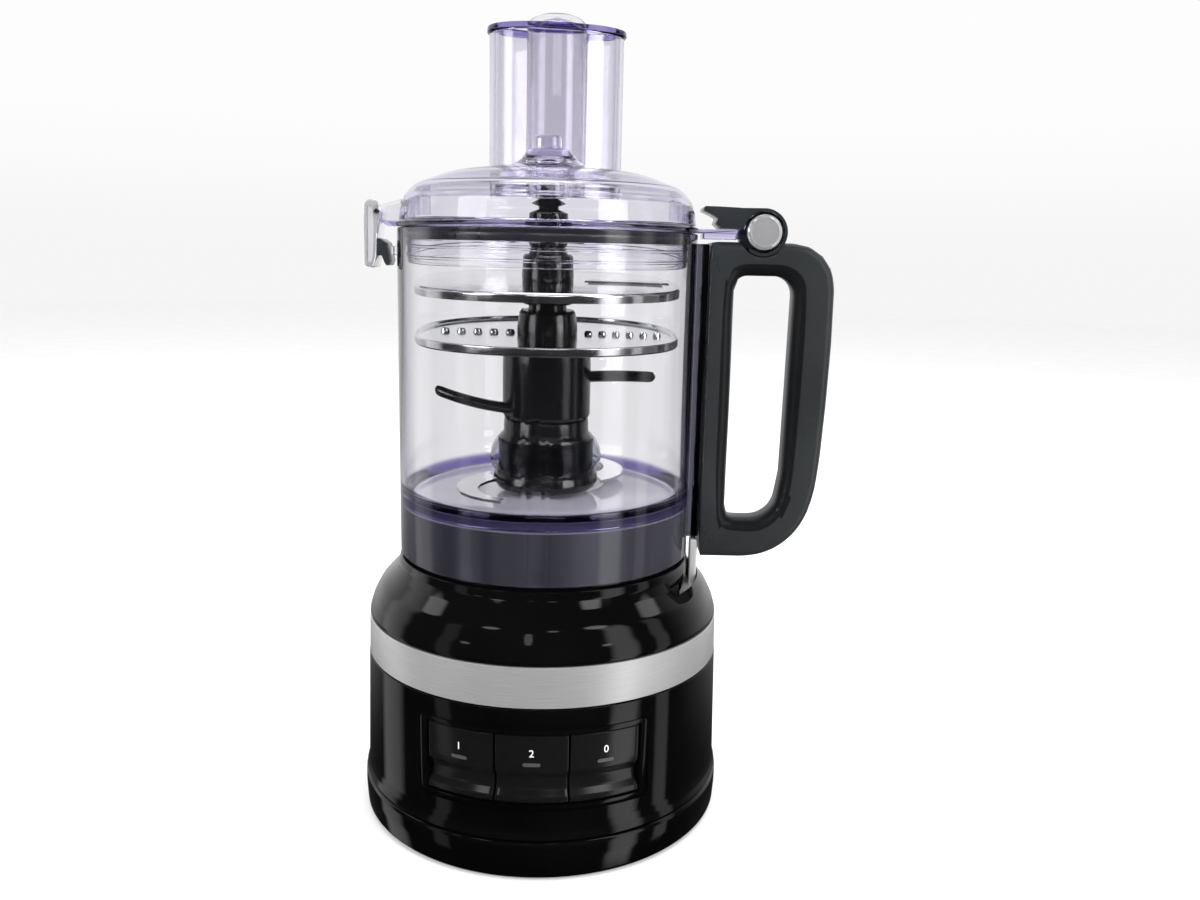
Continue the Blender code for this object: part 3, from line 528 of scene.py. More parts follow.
UW = math.radians(W) * 98.0
drum = lathe([(100.5, 21.6, 0.3), (100.2, 22.6, 1.0), (99.5, 25.4, 6), (99.1, 29.5, 8), (97.95, 89.4, 0.4), (95.4, 89.7), (96.9, 21.5)], 160)
drum = solid(drum, (wrapped(rrect(-UW + 0.1, UW - 0.1, 36.7, 79.5, 3.4), 88, 106, 28), "DIFFERENCE"),
             (rod(6.6, 80, 110, "Y", (0, 38)), "DIFFERENCE"))
piece("drum", drum, GLOSS, B, "lower_housing", 30)

top = lathe([(95.5, 90.4), (95.5, 111.7), (97.1, 111.7, 0.35), (97.0, 113.4, 1.0), (95.2, 119.6, 20), (91.0, 127.6, 14),
             (84.2, 134.9, 9), (80.8, 139.2, 3.0), (80.3, 143.2, 0.6), (76.7, 143.5, 0.5), (76.35, 169.4, 0.5), (74.4, 172.1, 1.6),
             (12.4, 172.1, 0.4), (12.4, 156), (16.2, 156), (16.2, 169.0), (73.2, 169.0), (73.6, 140.6), (79.6, 135.0),
             (85.8, 128.4), (90.7, 120.8), (92.8, 112), (92.8, 90.4)], 160)
slot_cut = bmesh.new()
sec = []
for i in range(25):
    a = math.radians(-34.5 + 36 * i / 24)
    sec.append([slot_cut.verts.new((r * math.cos(a), r * math.sin(a), z)) for r, z in ((80.7, 118), (86.7, 118), (86.7, 150), (80.7, 150))])
for i in range(24):
    for k in range(4):
        slot_cut.faces.new((sec[i][k], sec[i][(k + 1) % 4], sec[i + 1][(k + 1) % 4], sec[i + 1][k]))
slot_cut.faces.new(sec[0])
slot_cut.faces.new(sec[-1])
bmesh.ops.recalc_face_normals(slot_cut, faces=slot_cut.faces)
top = solid(top, (slot_cut, "DIFFERENCE"))
piece("shoulder", top, GLOSS, B, "upper_housing", 30)

piece("band", lathe([(97.75, 90.1, 0.35), (97.55, 100.5), (97.35, 110.9, 0.35), (95.9, 110.9), (95.9, 90.1)], 192),
      BAND, B, "trim_band", 30)

# bezel: rounded plate with one window for the three paddles
UB = math.radians(STEP_DEG + HALF_DEG + 0.57) * 98.0
bez = prism(rrect(-UW + 0.45, UW - 0.45, 37.05, 79.15, 3.0), 92.8, 98.35, "Y")
rim(bez, "Y", 0.35, 2)
win = prism(rrect(-UB, UB, 39.7, 76.6, 1.2, 3), 88, 104, "Y")
bez = solid(bez, (win, "DIFFERENCE"))
slices(bez, -UW, UW, 36)
piece("bezel", wrap(bez, 98.0), GLOSS, B, "control_bezel", 30)


def paddle(deg):
    """Button: flat upper face, scooped finger groove, rounded lip."""
    prof = fillet([(91.3, 40.35), (97.6, 40.35, 0.7), (98.15, 41.4, 0.8), (98.0, 43.6, 1.6), (94.9, 47.0, 3.0), (94.4, 52.6, 3.4),
                   (97.55, 56.9, 0.9), (97.75, 60.0, 4), (97.75, 75.4, 0.6), (97.2, 75.95, 0.4), (91.3, 75.95)], 5)
    U = math.radians(HALF_DEG) * 98.0
    bm = prism(prof, -U, U, "X")
    rim(bm, "X", 0.4, 2)
    # shallow pocket for the indicator lens
    bm = solid(bm, (prism(rrect(-4.6, 4.6, 59.6, 61.8, 1.05, 4), 97.25, 99.0, "Y"), "DIFFERENCE"))
    slices(bm, -U, U, 16)
    return wrap(bm, 98.0, deg)


def number(ch, deg, size=5.4, z=66.6, r=97.72):
    cu = bpy.data.curves.new("n", "FONT")
    cu.body = ch
    cu.size = size
    cu.align_x = "CENTER"
    cu.align_y = "CENTER"
    cu.extrude = 0.06
    cu.resolution_u = 4
    ob = bpy.data.objects.new("n", cu)
    bpy.context.scene.collection.objects.link(ob)
    dg = bpy.context.evaluated_depsgraph_get()
    me = bpy.data.meshes.new_from_object(ob.evaluated_get(dg))
    bm = bmesh.new()
    bm.from_mesh(me)
    bpy.data.objects.remove(ob)
    bpy.data.curves.remove(cu)
    bpy.data.meshes.remove(me)
    bmesh.ops.remove_doubles(bm, verts=bm.verts, dist=0.0005)
    for v in bm.verts:
        x, y, h = v.co
        v.co = (x, r + h, z + y)
    return wrap(bm, 98.0, deg)


for k, (nm, ch) in enumerate((("button_1", "1"), ("button_2", "2"), ("button_pulse", "0"))):
    deg = -90 + (k - 1) * STEP_DEG
    piece("paddle_%s" % ch, paddle(deg), GLOSS2, nm, nm, 28)
    piece("number_%s" % ch, number(ch, deg), LABEL, nm)
    lens = prism(rrect(-4.5, 4.5, 59.7, 61.7, 1.0, 4), 96.9, 97.5, "Y")
    slices(lens, -4.5, 4.5, 6)
    piece("lens_%s" % ch, wrap(lens, 98.0, deg), LED, nm)

# rear: moulded gland
piece("gland", move(lathe([(3.6, 0), (8.2, 0, 0.5), (8.6, 1.2, 0.6), (8.4, 3.6, 0.4), (6.2, 4.6), (6.2, 13), (3.6, 13)], 40)),
      RUBBER, B, "cord_gland")
g = bpy.data.objects["gland"]
g.data.transform(Matrix.Rotation(math.pi / 2, 4, "X"))
g.data.transform(Matrix.Translation((0, 0.104, 0.038)))

# ------------------------------------------------------------------ interlock
tab = block(81.3, 85.5, -10.1, -1.9, 124.5, 152.4, 0.9, 3)
arc = bmesh.new()
sec = []
for i in range(21):
    a = math.radians(-16 + 22 * i / 20)
    sec.append([arc.verts.new((r * math.cos(a), r * math.sin(a), z)) for r, z in ((78.7, 120.6), (84.3, 120.6), (84.3, 126.4), (78.7, 126.4))])
for i in range(20):
    for k in range(4):
        arc.faces.new((sec[i][k], sec[i][(k + 1) % 4], sec[i + 1][(k + 1) % 4], sec[i + 1][k]))
arc.faces.new(sec[0])
arc.faces.new(sec[-1])
bmesh.ops.recalc_face_normals(arc, faces=arc.faces)
piece("slider_tab", solid(arc, (tab, "UNION"), (rod(1.7, 112, 158, "Z", (83.5, -6.0), 24), "DIFFERENCE")),
      BANDTAB, "slider", "interlock_slider", 30)

# ------------------------------------------------------------------ work bowl
bowl = lathe([(7.6, 173.9), (76.6, 173.9, 1.2), (77.4, 171.6, 1.0), (77.55, 145.3, 0.5), (80.0, 145.3, 0.7), (80.0, 318.7, 0.7), (77.8, 318.7, 0.6),
              (77.7, 182.5, 6), (72.2, 176.5, 4), (12.5, 176.5, 1.5), (10.0, 179.0, 1.5), (9.8, 239.9, 0.6), (7.6, 239.9, 0.4)], SEG)
flange = block(78.9, 85.9, -8.9, 8.9, 153.8, 313.9, 0.9, 3)
lug = block(-83.1, -78.9, -7.9, 7.9, 304.6, 309.4, 0.7, 3)
ribL = block(-82.0, -79.2, -2.6, 2.6, 296.0, 318.4, 0.8, 3)
r1 = block(-5.9, -4.7, -81.3, -79.3, 146.0, 172.8, 0.4, 2)
r2 = block(4.7, 5.9, -81.3, -79.3, 146.0, 172.8, 0.4, 2)
ring = lathe([(1.5, -81.0, 0.2), (2.6, -81.0, 0.2), (2.6, -79.2), (1.5, -79.2)], 32, (0, 0), 2)
bmesh.ops.rotate(ring, verts=ring.verts, cent=(0, 0, 0), matrix=Matrix.Rotation(-math.pi / 2, 3, "X"))
for v in ring.verts:
    v.co.y = -abs(v.co.y)
    v.co.z += 150.6
bmesh.ops.recalc_face_normals(ring, faces=ring.faces)
bowl = solid(bowl, (flange, "UNION"), (lug, "UNION"), (r1, "UNION"), (r2, "UNION"), (ring, "UNION"),
             (rod(1.75, 150, 320, "Z", (83.5, -6.0), 20), "DIFFERENCE"))
shell = piece("bowl_shell", bowl, [CLEAR, DARKCLEAR], "bowl", "work_bowl", 30)
for f in shell.data.polygons:
    c = f.center
    if c.x > 0.08006 and abs(c.y) < 0.0092:
        f.material_index = 1

# handle: closed loop swept with a soft rectangular section
XI, XO = 100.3, 153.7


def resample(pts, marks, counts):
    """Points of a closed loop, with a set number between marked corners."""
    n = len(pts)
    V = [Vector(p) for p in pts]
    seg = [(V[(i + 1) % n] - V[i]).length for i in range(n)]
    cum = [0]
    for s in seg:
        cum.append(cum[-1] + s)
    total = cum[-1]

    def at(d):
        d %= total
        for i in range(n):
            if cum[i + 1] >= d:
                t = (d - cum[i]) / seg[i] if seg[i] > 0 else 0
                return V[i].lerp(V[(i + 1) % n], t)
        return V[0]

    def nearest(m):
        best, bd = 0, 1e9
        for i in range(n):
            a, b = V[i], V[(i + 1) % n]
            d = b - a
            t = max(0, min(1, (Vector(m) - a).dot(d) / max(d.length_squared, 1e-9)))
            q = a + d * t
            if (q - Vector(m)).length < bd:
                bd = (q - Vector(m)).length
                best = cum[i] + t * seg[i]
        return best

    ds = [nearest(m) for m in marks]
    out = []
    for k in range(len(ds)):
        a, b = ds[k], ds[(k + 1) % len(ds)]
        if b <= a:
            b += total
        for j in range(counts[k]):
            out.append(at(a + (b - a) * j / counts[k]))
    return out


outer = fillet([(86.3, 142.8, 3), (111.0, 142.8, 40), (118.5, 143.7, 40), (125.5, 146.0, 40), (132.0, 149.8, 40), (138.2, 155.3, 40), (143.2, 162.4, 40),
                (147.0, 171.2, 40), (149.6, 182.6, 60), (151.3, 200.0, 90), (152.8, 230.0, 200), (XO, 262.0, 200), (XO - 0.4, 315.2, 23), (86.3, 315.2, 2)], 4)
inner = fillet([(XI, 164.8, 5), (126.5, 164.8, 15), (130.6, 190, 30), (132.2, 297.7, 10), (XI, 297.7, 7)], 12)
marks_o = [(86.3, 142.8), (117, 143.4), (146.2, 169.0), (XO, 262), (XO - 7, 309.5), (120, 315.2), (86.3, 315.2), (86.3, 230)]
marks_i = [(XI, 164.8), (117, 164.8), (129.5, 184), (131.7, 262), (129.5, 295.0), (117, 297.7), (XI, 297.7), (XI, 230)]
counts = [8, 16, 14, 12, 12, 10, 10, 10]
PO, PI_ = resample(outer, marks_o, counts), resample(inner, marks_i, counts)


def section(w, h, ro, ri, n=5):
    """Rounded rectangle: a from the inner side (-w/2) to the outer (w/2), thickness +-h."""
    pts = []
    for ca, cy, r, s in ((w / 2, h, ro, 0), (-w / 2, h, ri, 90), (-w / 2, -h, ri, 180), (w / 2, -h, ro, 270)):
        r = min(r, w * 0.46)
        sx, sy = (1 if ca > 0 else -1), (1 if cy > 0 else -1)
        for k in range(n + 1):
            t = math.radians(s + 90 * k / n)
            pts.append((ca - sx * r + r * math.cos(t), cy - sy * r + r * math.sin(t)))
    return pts


hb = bmesh.new()
loops = []
for po, pi in zip(PO, PI_):
    w = (po - pi).length
    d = (po - pi) / w
    c = (po + pi) / 2
    ro = 1.6 if po.x < 87.5 else 5.2
    loops.append([hb.verts.new((c.x + d.x * a, y, c.y + d.y * a)) for a, y in section(w, 12.0, ro, 8.6, 7)])
for i in range(len(loops)):
    A, C = loops[i], loops[(i + 1) % len(loops)]
    for k in range(len(A)):
        m = (k + 1) % len(A)
        hb.faces.new((A[k], A[m], C[m], C[k]))
bmesh.ops.recalc_face_normals(hb, faces=hb.faces)
handle = solid(hb, (rod(13.0, -16, 16, "Y", (HX, HZ), 64), "DIFFERENCE"),
               (rod(12.4, -4.8, 4.8, "Y", (HX, HZ), 64, 0.5), "UNION"),
               (block(HX - 9, HX + 9, -4.8, 4.8, 304.0, 312.0), "UNION"),
               (rod(3.3, -20, 20, "Y", (HX, HZ), 32), "DIFFERENCE"))
# faces near the inner opening take the darker charcoal copy: painted shade inside the opening
ins = [(p.x, p.y) for p in PI_]
for f in handle.faces:
    c = f.calc_center_median()
    if c.x < 88.0:
        continue
    near = 1e9
    for k in range(len(ins)):
        (ax, az), (bx, bz) = ins[k], ins[(k + 1) % len(ins)]
        vx, vz = bx - ax, bz - az
        q = vx * vx + vz * vz
        t = max(0.0, min(1.0, ((c.x - ax) * vx + (c.z - az) * vz) / q)) if q > 1e-9 else 0.0
        near = min(near, math.hypot(c.x - ax - t * vx, c.z - az - t * vz))
    f.material_index = 1 if near < 6.4 else 0
piece("handle_loop", handle, [CHAR, CHAR_SHADE], "bowl", "handle", 34)
for s, nm in ((-1, "front"), (1, "rear")):
    cap = lathe([(0, 0), (9.2, 0, 0.2), (9.2, 1.3, 0.9), (7.6, 2.35, 0.8), (6.9, 2.1, 0.3), (0, 2.6)], 64)
    for v in cap.verts:
        x, y, z = v.co
        v.co = (HX + x, s * (12.8 + z), HZ + y)
    bmesh.ops.recalc_face_normals(cap, faces=cap.faces)
    piece("cap_" + nm, cap, CAPS, "bowl", "hinge_cap_" + nm, 30)

# ------------------------------------------------------------------ lid
lid = lathe([(73.5, 299.5, 0.4), (75.1, 299.5, 0.5), (75.1, 302.2), (75.6, 302.6, 0.2), (75.6, 303.4, 0.2), (75.1, 303.8), (75.1, 307.6), (75.6, 308.0, 0.2), (75.6, 308.8, 0.2), (75.1, 309.2), (75.1, 311.4), (75.5, 311.8), (75.5, 313.6, 0.3), (74.8, 313.9, 0.2), (74.8, 319.0, 0.3), (80.7, 319.1, 0.5),
             (80.8, 321.4, 0.6), (78.9, 322.6, 0.4), (78.2, 328.5, 12), (76.2, 335.0, 8), (70.6, 341.2, 12), (52.7, 348.1, 60), (20.5, 352.6, 10),
             (15.4, 355.6, 4), (11.6, 360.4, 4), (7.3, 361.6, 0.6), (7.2, 367.9, 1.2), (0, 367.9),
             (0, 355.5), (9.3, 355.5), (9.3, 337.3), (11.0, 337.3), (11.0, 350.9, 1.0), (52.0, 345.8, 50), (69.2, 338.9, 9), (74.0, 332.9, 6),
             (75.4, 321.6, 1.0), (73.5, 319.4, 0.5)], SEG)


def superoval(a, b, n=72, k=2.35):
    pts = []
    for i in range(n):
        t = 2 * math.pi * i / n
        c, s = math.cos(t), math.sin(t)
        pts.append((a * math.copysign(abs(c) ** (2 / k), c), b * math.copysign(abs(s) ** (2 / k), s)))
    return pts


def tube(a, b, lo, hi, soft=0.0, n=72):
    bm = prism(superoval(a, b, n), lo, hi)
    if soft:
        rim(bm, "Z", soft, 3)
    return move(bm, TX, TY, 0, YAW)


adds = [(tube(TA, TB, 336.4, 425.1, 0.6), "UNION"),
        (tube(TA - 2.2, TB - 2.2, 320.0, 440.0), "DIFFERENCE"),
        (block(76.6, 100.1, -12.1, 12.1, 319.35, 321.35, 0.3, 2), "UNION"),
        (block(82.5, 100.0, -12.0, 12.0, 316.4, 320.4, 0.5, 2), "UNION")]
for s in (-1, 1):
    lo, hi = sorted((s * 5.6, s * 12.1))
    adds.append((block(98.8, 107.0, lo, hi, 316.5, 321.3, 0.3, 2), "UNION"))
    adds.append((rod(10.4, lo, hi, "Y", (HX, HZ), 64, 0.4), "UNION"))
adds.append((rod(3.3, -20, 20, "Y", (HX, HZ), 32), "DIFFERENCE"))
for s in (-1, 1):
    lo, hi = sorted((s * 9.5, s * 11.5))
    ear = prism(fillet([(-76.8, 319.5), (-84.0, 319.5, 2), (-91.3, 324.2, 3), (-91.3, 329.6, 2), (-87.6, 330.4, 2), (-76.8, 333.4)], 5), lo, hi, "Y")
    adds.append((ear, "UNION"))
adds.append((rod(1.5, -14, 14, "Y", (LX, LZ), 24), "DIFFERENCE"))
# stiffening ribs moulded under the shoulder at the latch and at the hinge
for s in (-1, 1):
    for x in (66.5, 69.6, 72.6):
        x0, x1 = sorted((s * (x - 0.7), s * (x + 0.7)))
        adds.append((block(x0, x1, -11.0, 11.0, 324.0, {66.5: 341.3, 69.6: 339.4, 72.6: 335.6}[x]), "UNION"))
piece("lid_shell", solid(lid, *adds), CLEARLID, "lid", "lid", 30)
piece("gasket_ring", lathe([(75.7, 311.9, 0.3), (76.8, 312.4, 0.5), (76.9, 315.0, 0.6), (76.4, 315.9, 0.3), (76.9, 317.6, 0.8), (76.7, 318.6, 0.4), (75.1, 318.7, 0.3), (75.1, 314.2, 0.2), (75.7, 313.9)], SEG),
      GASKET, "lid", "lid_gasket", 40)

arm = prism(fillet([(82.1, 331.2, 0.4), (86.6, 329.2, 0.8), (89.6, 327.4, 0.8), (88.4, 324.6, 0.8), (91.4, 322.0, 0.8), (98.0, 322.0, 0.5), (101.2, 322.0), (101.2, 332.8), (90.0, 333.2, 3), (82.1, 333.3, 1.0)], 4), -12.3, 12.3, "Y")
parts = []
for s in (-1, 1):
    lo, hi = sorted((s * 5.55, s * 12.25))
    rg = [(HX + 12.4 * math.cos(t), HZ + 12.4 * math.sin(t)) for t in (math.radians(172 + 278 * i / 56) for i in range(57))]
    rg = [(99.0, 322.1)] + rg + [(99.0, 332.7)]
    parts.append((prism(rg, lo, hi, "Y"), "UNION"))
parts.append((rod(10.75, -20, 20, "Y", (HX, HZ), 64), "DIFFERENCE"))
parts.append((block(70, 106.6, -20, 20, 300, 321.85), "DIFFERENCE"))
arm = solid(arm, *parts)
soften(arm, 0.35, 40, 2)
piece("arm", arm, ARM, "lid", "hinge_arm", 34)

# latch: chrome body with a satin panel let into each side, and the satin hook behind
lat = prism(fillet([(-97.5, 298.8, 2.2), (-92.4, 297.5, 1.2), (-90.8, 303.5, 3), (-90.3, 312.8, 2), (-88.7, 321.5, 3), (-87.0, 327.0, 3.0),
                    (-89.5, 333.0, 3.4), (-96.8, 334.0, 4.0), (-97.5, 322.0, 8)], 6), -8.8, 8.8, "Y")
rim(lat, "Y", 1.3, 4)
cuts = [(rod(1.5, -14, 14, "Y", (LX, LZ), 24), "DIFFERENCE")]
panel = [(-95.6, 301.0, 1.4), (-93.2, 300.4, 0.8), (-92.3, 304.6, 1.5), (-91.9, 313.0, 1.5), (-91.6, 322.0, 1.5), (-92.4, 329.0, 1.5), (-95.2, 330.2, 1.6)]
for s in (-1, 1):
    lo, hi = sorted((s * 8.1, s * 10.0))
    cuts.append((prism(fillet(panel, 4), lo, hi, "Y"), "DIFFERENCE"))
piece("latch_body", solid(lat, *cuts), CHROME, "latch", "latch_lever", 30)
for s, nm in ((-1, "front"), (1, "rear")):
    lo, hi = sorted((s * 8.0, s * 8.45))
    pn = prism(fillet([(x + (0.15 if x < -94 else -0.15), z, r) for x, z, r in panel], 4), lo, hi, "Y")
    piece("latch_panel_" + nm, pn, GREYSAT, "latch", None, 30)
hook = prism(fillet([(-90.6, 304.0), (-88.4, 305.0, 1.0), (-86.6, 300.4, 1.0), (-85.2, 298.4, 0.6), (-83.9, 301.8, 0.5), (-85.7, 311.0, 0.8),
                     (-89.0, 313.2, 1.2), (-90.6, 313.0)], 4), -8.4, 8.4, "Y")
soften(hook, 0.35, 40, 2)
piece("latch_hook", hook, ARM, "latch", None, 34)

# ------------------------------------------------------------------ pushers
PA, PB = TA - 2.8, TB - 2.8
big = solid(tube(PA, PB, 339.1, 427.0),
            (tube(TA + 1.3, TB + 1.3, 425.5, 428.5, 0.7), "UNION"),
            (tube(PA - 2.0, PB - 2.0, 341.4, 440.0), "DIFFERENCE"),
            (rod(16.6, 339.2, 428.4, "Z", (TX, TY), 56, 0.4), "UNION"),
            (rod(14.8, 330.0, 440.0, "Z", (TX, TY), 56), "DIFFERENCE"))
piece("pusher_large", big, CLEARTUBE, "large_pusher", "large_pusher", 30)
small = lathe([(0, 345.1), (13.4, 345.1, 0.8), (14.1, 346.4, 0.8), (14.2, 428.8), (16.9, 428.8, 0.4), (17.0, 430.4, 1.2),
               (14.6, 434.0, 6), (9.0, 436.2, 6), (5.2, 436.9, 0.8), (3.6, 434.9, 0.8), (0, 434.9),
               (0, 433.0), (12.2, 430.6, 3), (12.4, 347.6, 1.0), (0, 347.0)], 64, (TX, TY))
piece("pusher_small", small, CLEARCAP, "small_pusher", "small_pusher", 30)

# ------------------------------------------------------------------ accessories
T = "tools"
stem = lathe([(11.0, 179.7), (14.4, 179.7), (14.4, 252.6, 0.8), (10.4, 254.6, 0.6), (10.4, 303.8, 0.4), (9.6, 304.4, 0.3), (9.6, 306.2, 0.3), (10.4, 306.8, 0.4),
              (10.4, 326.6, 1.2), (8.8, 327.7, 0.4), (4.6, 330.0, 0.5), (9.6, 332.4, 0.5), (9.3, 333.2, 0.3), (3.7, 334.8, 0.3), (3.7, 336.3),
              (7.4, 336.5, 0.3), (7.4, 337.9, 0.3), (4.4, 338.3), (4.4, 339.3), (7.2, 339.5, 0.3), (7.2, 341.3, 0.5), (5.6, 342.2, 0.3), (0, 342.2),
              (0, 264.6), (7.9, 264.6), (7.9, 244.5), (11.0, 244.5)], 72)
slots = []
for i in range(4):
    s = block(-1.0, 1.0, 9.3, 12.0, 308.4, 324.6, 0.4, 2)
    slots.append((move(s, 0, 0, 0, math.radians(20 + 90 * i)), "DIFFERENCE"))
for s in (-1, 1):
    lo, hi = sorted((s * 5.7, s * 8.4))
    slots.append((block(-1.6, 1.6, lo, hi, 246.0, 262.0), "UNION"))
piece("stem", solid(stem, *slots), STEMB, T, "drive_stem", 30)

core = lathe([(14.8, 179.7), (26.6, 179.7, 0.8), (29.4, 183.6, 1.4), (28.4, 187.6, 1.2), (26.6, 189.0, 0.8), (26.3, 190.5), (26.3, 205.8, 0.8),
              (25.6, 207.4, 0.8), (23.6, 209.2, 0.6), (23.3, 216.2, 0.8), (14.8, 216.2)], 72)
piece("hub_core", core, STEMB, T, "blade_hub", 30)
bulge = lathe([(24.9, 189.3), (27.6, 188.6, 1.0), (29.9, 190.4, 3), (30.9, 195.4, 6), (29.9, 201.0, 8), (27.4, 205.6, 3), (24.9, 206.8),
               (24.9, 205.4), (26.8, 204.4, 3), (28.9, 200.4, 7), (29.8, 195.4, 5), (28.9, 191.0, 2.4), (27.4, 189.8, 0.8), (24.9, 190.4)], 72)
piece("hub_bulge", bulge, SMOKE, T, None, 30)

dough = lathe([(14.8, 216.9), (23.2, 216.9, 0.6), (24.2, 218.8, 0.8), (24.3, 244.0), (24.0, 252.6, 1.2), (22.6, 253.9, 0.6), (14.8, 253.9)], 72)
arms = []
for k, (z, lift) in enumerate(((219.6, 9.0), (233.6, 1.5))):
    n = 30
    am = bmesh.new()
    rows = []
    for i in range(n + 1):
        t = i / n
        r, a = 19.0 + 42.0 * t, math.radians(214 - 27 * t)
        da = math.atan2(-math.radians(27) * r, 42.0)
        end = math.sqrt(max(0.0, 1 - max(0.0, (t - 0.94) / 0.062) ** 2))
        w = (11.5 - 6.0 * t ** 1.6) / 2 * max(0.12, end)
        nx, ny = -math.sin(a + da), math.cos(a + da)
        row = []
        for q in range(16):
            u = 2 * math.pi * q / 16
            cu, su = math.cos(u), math.sin(u)
            o = w * math.copysign(abs(cu) ** 0.8, cu)
            h = (2.9 - 1.2 * max(0, cu) ** 2) * math.copysign(abs(su) ** 0.7, su) * max(0.3, end)
            row.append(am.verts.new((r * math.cos(a) + nx * o, r * math.sin(a) + ny * o, 2.9 + h)))
        rows.append(row)
    for i in range(n):
        for q in range(16):
            am.faces.new((rows[i][q], rows[i][(q + 1) % 16], rows[i + 1][(q + 1) % 16], rows[i + 1][q]))
    am.faces.new(rows[0])
    am.faces.new(rows[-1])
    for v in am.verts:
        v.co.z += lift * (max(0.0, (v.co.xy.length - 20.0) / 42.0)) ** 1.4
    bmesh.ops.recalc_face_normals(am, faces=am.faces)
    move(am, 0, 0, 0, math.radians(180 * k))
    move(am, 0, 0, z)
    arms.append((am, "UNION"))
arms.append((rod(14.8, 200, 270, "Z", (0, 0), 72), "DIFFERENCE"))
piece("dough_tool", solid(dough, *arms), STEMB, T, "dough_blade", 34)

# discs
TEETH = [(x, 2.0, 2.3) for x in (-20.5, -29.5, -38.5, -47.5, -56.5)] + [(22.5 + 7.6 * i, 3.0, 2.0) for i in range(6)]
sd = lathe([(16.8, 259.3), (69.6, 259.3, 0.5), (70.8, 258.0, 0.4), (71.6, 257.8, 0.3), (72.0, 258.6, 0.3), (72.0, 261.8, 0.4), (71.4, 262.3, 0.3),
            (70.8, 262.0, 0.3), (70.3, 260.6, 0.5), (69.4, 260.3, 0.4), (16.8, 260.3)], SEG)
cut = merge(*[rod(r * 0.82, 255, 266, "Z", (x, y), 14) for x, y, r in TEETH])
sd = solid(sd, (cut, "DIFFERENCE"))
piece("disc_shred", sd, STEEL, T, "shredding_disc", 30)
bumps = []
for x, y, r in TEETH:
    # raised hood, open on the cutting side
    h = lathe([(r * 0.84, 260.15), (r * 1.22, 260.15), (r * 1.12, 261.0, 0.3), (r * 0.92, 262.1, 0.15), (r * 0.84, 261.9)], 16, (x, y), 1)
    bumps.append(h)
piece("disc_shred_teeth", merge(*bumps), STEEL, T, None, 40)
sl = lathe([(14.3, 286.9), (69.8, 286.9, 0.6), (70.9, 285.9, 0.5), (71.0, 283.3), (71.9, 283.3), (72.0, 286.9, 0.9), (70.9, 288.0, 0.6), (14.3, 288.0)], SEG)
sl = solid(sl, (block(20, 66, -6, 5, 280, 292), "DIFFERENCE"))
piece("disc_slice", sl, STEEL, T, "slicing_disc", 30)
edge = prism([(-8.2, 288.5), (4.2, 288.3), (4.2, 288.9), (-8.2, 289.1)], 22.0, 62.0, "X")
piece("slicing_edge", edge, BLADE, T, "slicing_blade", 30)
piece("hub_shred", lathe([(10.8, 256.1), (15.6, 256.1, 0.4), (16.3, 256.9, 0.3), (16.3, 261.0), (16.6, 262.6, 0.4), (16.2, 265.6, 0.8), (15.4, 271.6, 0.6), (14.4, 272.9, 0.4), (10.8, 272.9)], 64),
      STEMB, T, "shredding_hub", 30)
piece("hub_slice", lathe([(10.8, 276.1), (13.2, 276.1, 0.4), (13.7, 277.0, 0.3), (13.7, 288.4), (14.1, 289.6, 0.4), (13.6, 301.8, 0.6), (12.6, 302.9, 0.4), (10.8, 302.9)], 64),
      STEMB, T, "slicing_hub", 30)

# ------------------------------------------------------------------ frame nodes that stay
KEEP = {"control_board": BOARD, "switch_1": INNER, "switch_2": INNER, "switch_3": INNER, "drive_frame": INNER,
        "lower_bearing": BRONZE, "upper_bearing": BRONZE, "motor_can": MOTOR, "motor_shaft": STEEL, "motor_pulley": STEEL,
        "drive_pulley": INNER, "drive_belt": RUBBER, "drive_spindle": STEEL, "interlock_switch": INNER,
        "interlock_plunger": INNER, "interlock_rod": STEEL, "hinge_pin": STEEL, "latch_pin": STEEL,
        "blade_lower": BLADE, "blade_upper": BLADE}
for n, m in KEEP.items():
    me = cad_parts[n].data
    if not len(me.materials):
        me.materials.append(m)
    for i in range(len(me.materials)):
        me.materials[i] = m

# ------------------------------------------------------------------ studio
fm = plastic("studio_floor", (0.86, 0.86, 0.865), (0.89, 0.89, 0.895), 0.7, 0.85, 60.0, 0.0002, 0.05, 0.2)
bm = bmesh.new()
n = 96
ringv = [bm.verts.new((6.0 * math.cos(2 * math.pi * i / n), 6.0 * math.sin(2 * math.pi * i / n), 0)) for i in range(n)]
bm.faces.new(ringv)
me = bpy.data.meshes.new("floor")
bm.to_mesh(me)
bm.free()
me.materials.append(fm)
floor = bpy.data.objects.new("floor", me)
floor.location.z = -0.0002
bpy.context.scene.collection.objects.link(floor)
floor.visible_glossy = False
floor.visible_transmission = False


def softbox(name, loc, target, sx, sy, power, colour=(1, 1, 1)):
    li = bpy.data.lights.new(name, "AREA")
    li.shape = "RECTANGLE"
    li.size, li.size_y = sx, sy
    li.energy = power
    li.color = colour
    ob = bpy.data.objects.new(name, li)
    ob.location = loc
    ob.rotation_euler = (Vector(target) - Vector(loc)).to_track_quat("-Z", "Y").to_euler()
    bpy.context.scene.collection.objects.link(ob)
    return ob


for args in (("key_right", (1.55, -1.15, 0.95), (0, 0, 0.22), 0.9, 1.5, 26), ("fill_left", (-1.45, -0.95, 0.75), (0, 0, 0.22), 0.8, 1.4, 17),
             ("top", (0.1, 0.15, 1.9), (0, 0, 0.2), 1.5, 1.1, 20), ("front_high", (0.1, -1.9, 1.2), (0, 0, 0.25), 1.2, 0.7, 12)):
    softbox(*args).visible_glossy = False

world = bpy.data.worlds.new("studio")
bpy.context.scene.world = world
world.use_nodes = True
wt = world.node_tree
for n in list(wt.nodes):
    wt.nodes.remove(n)


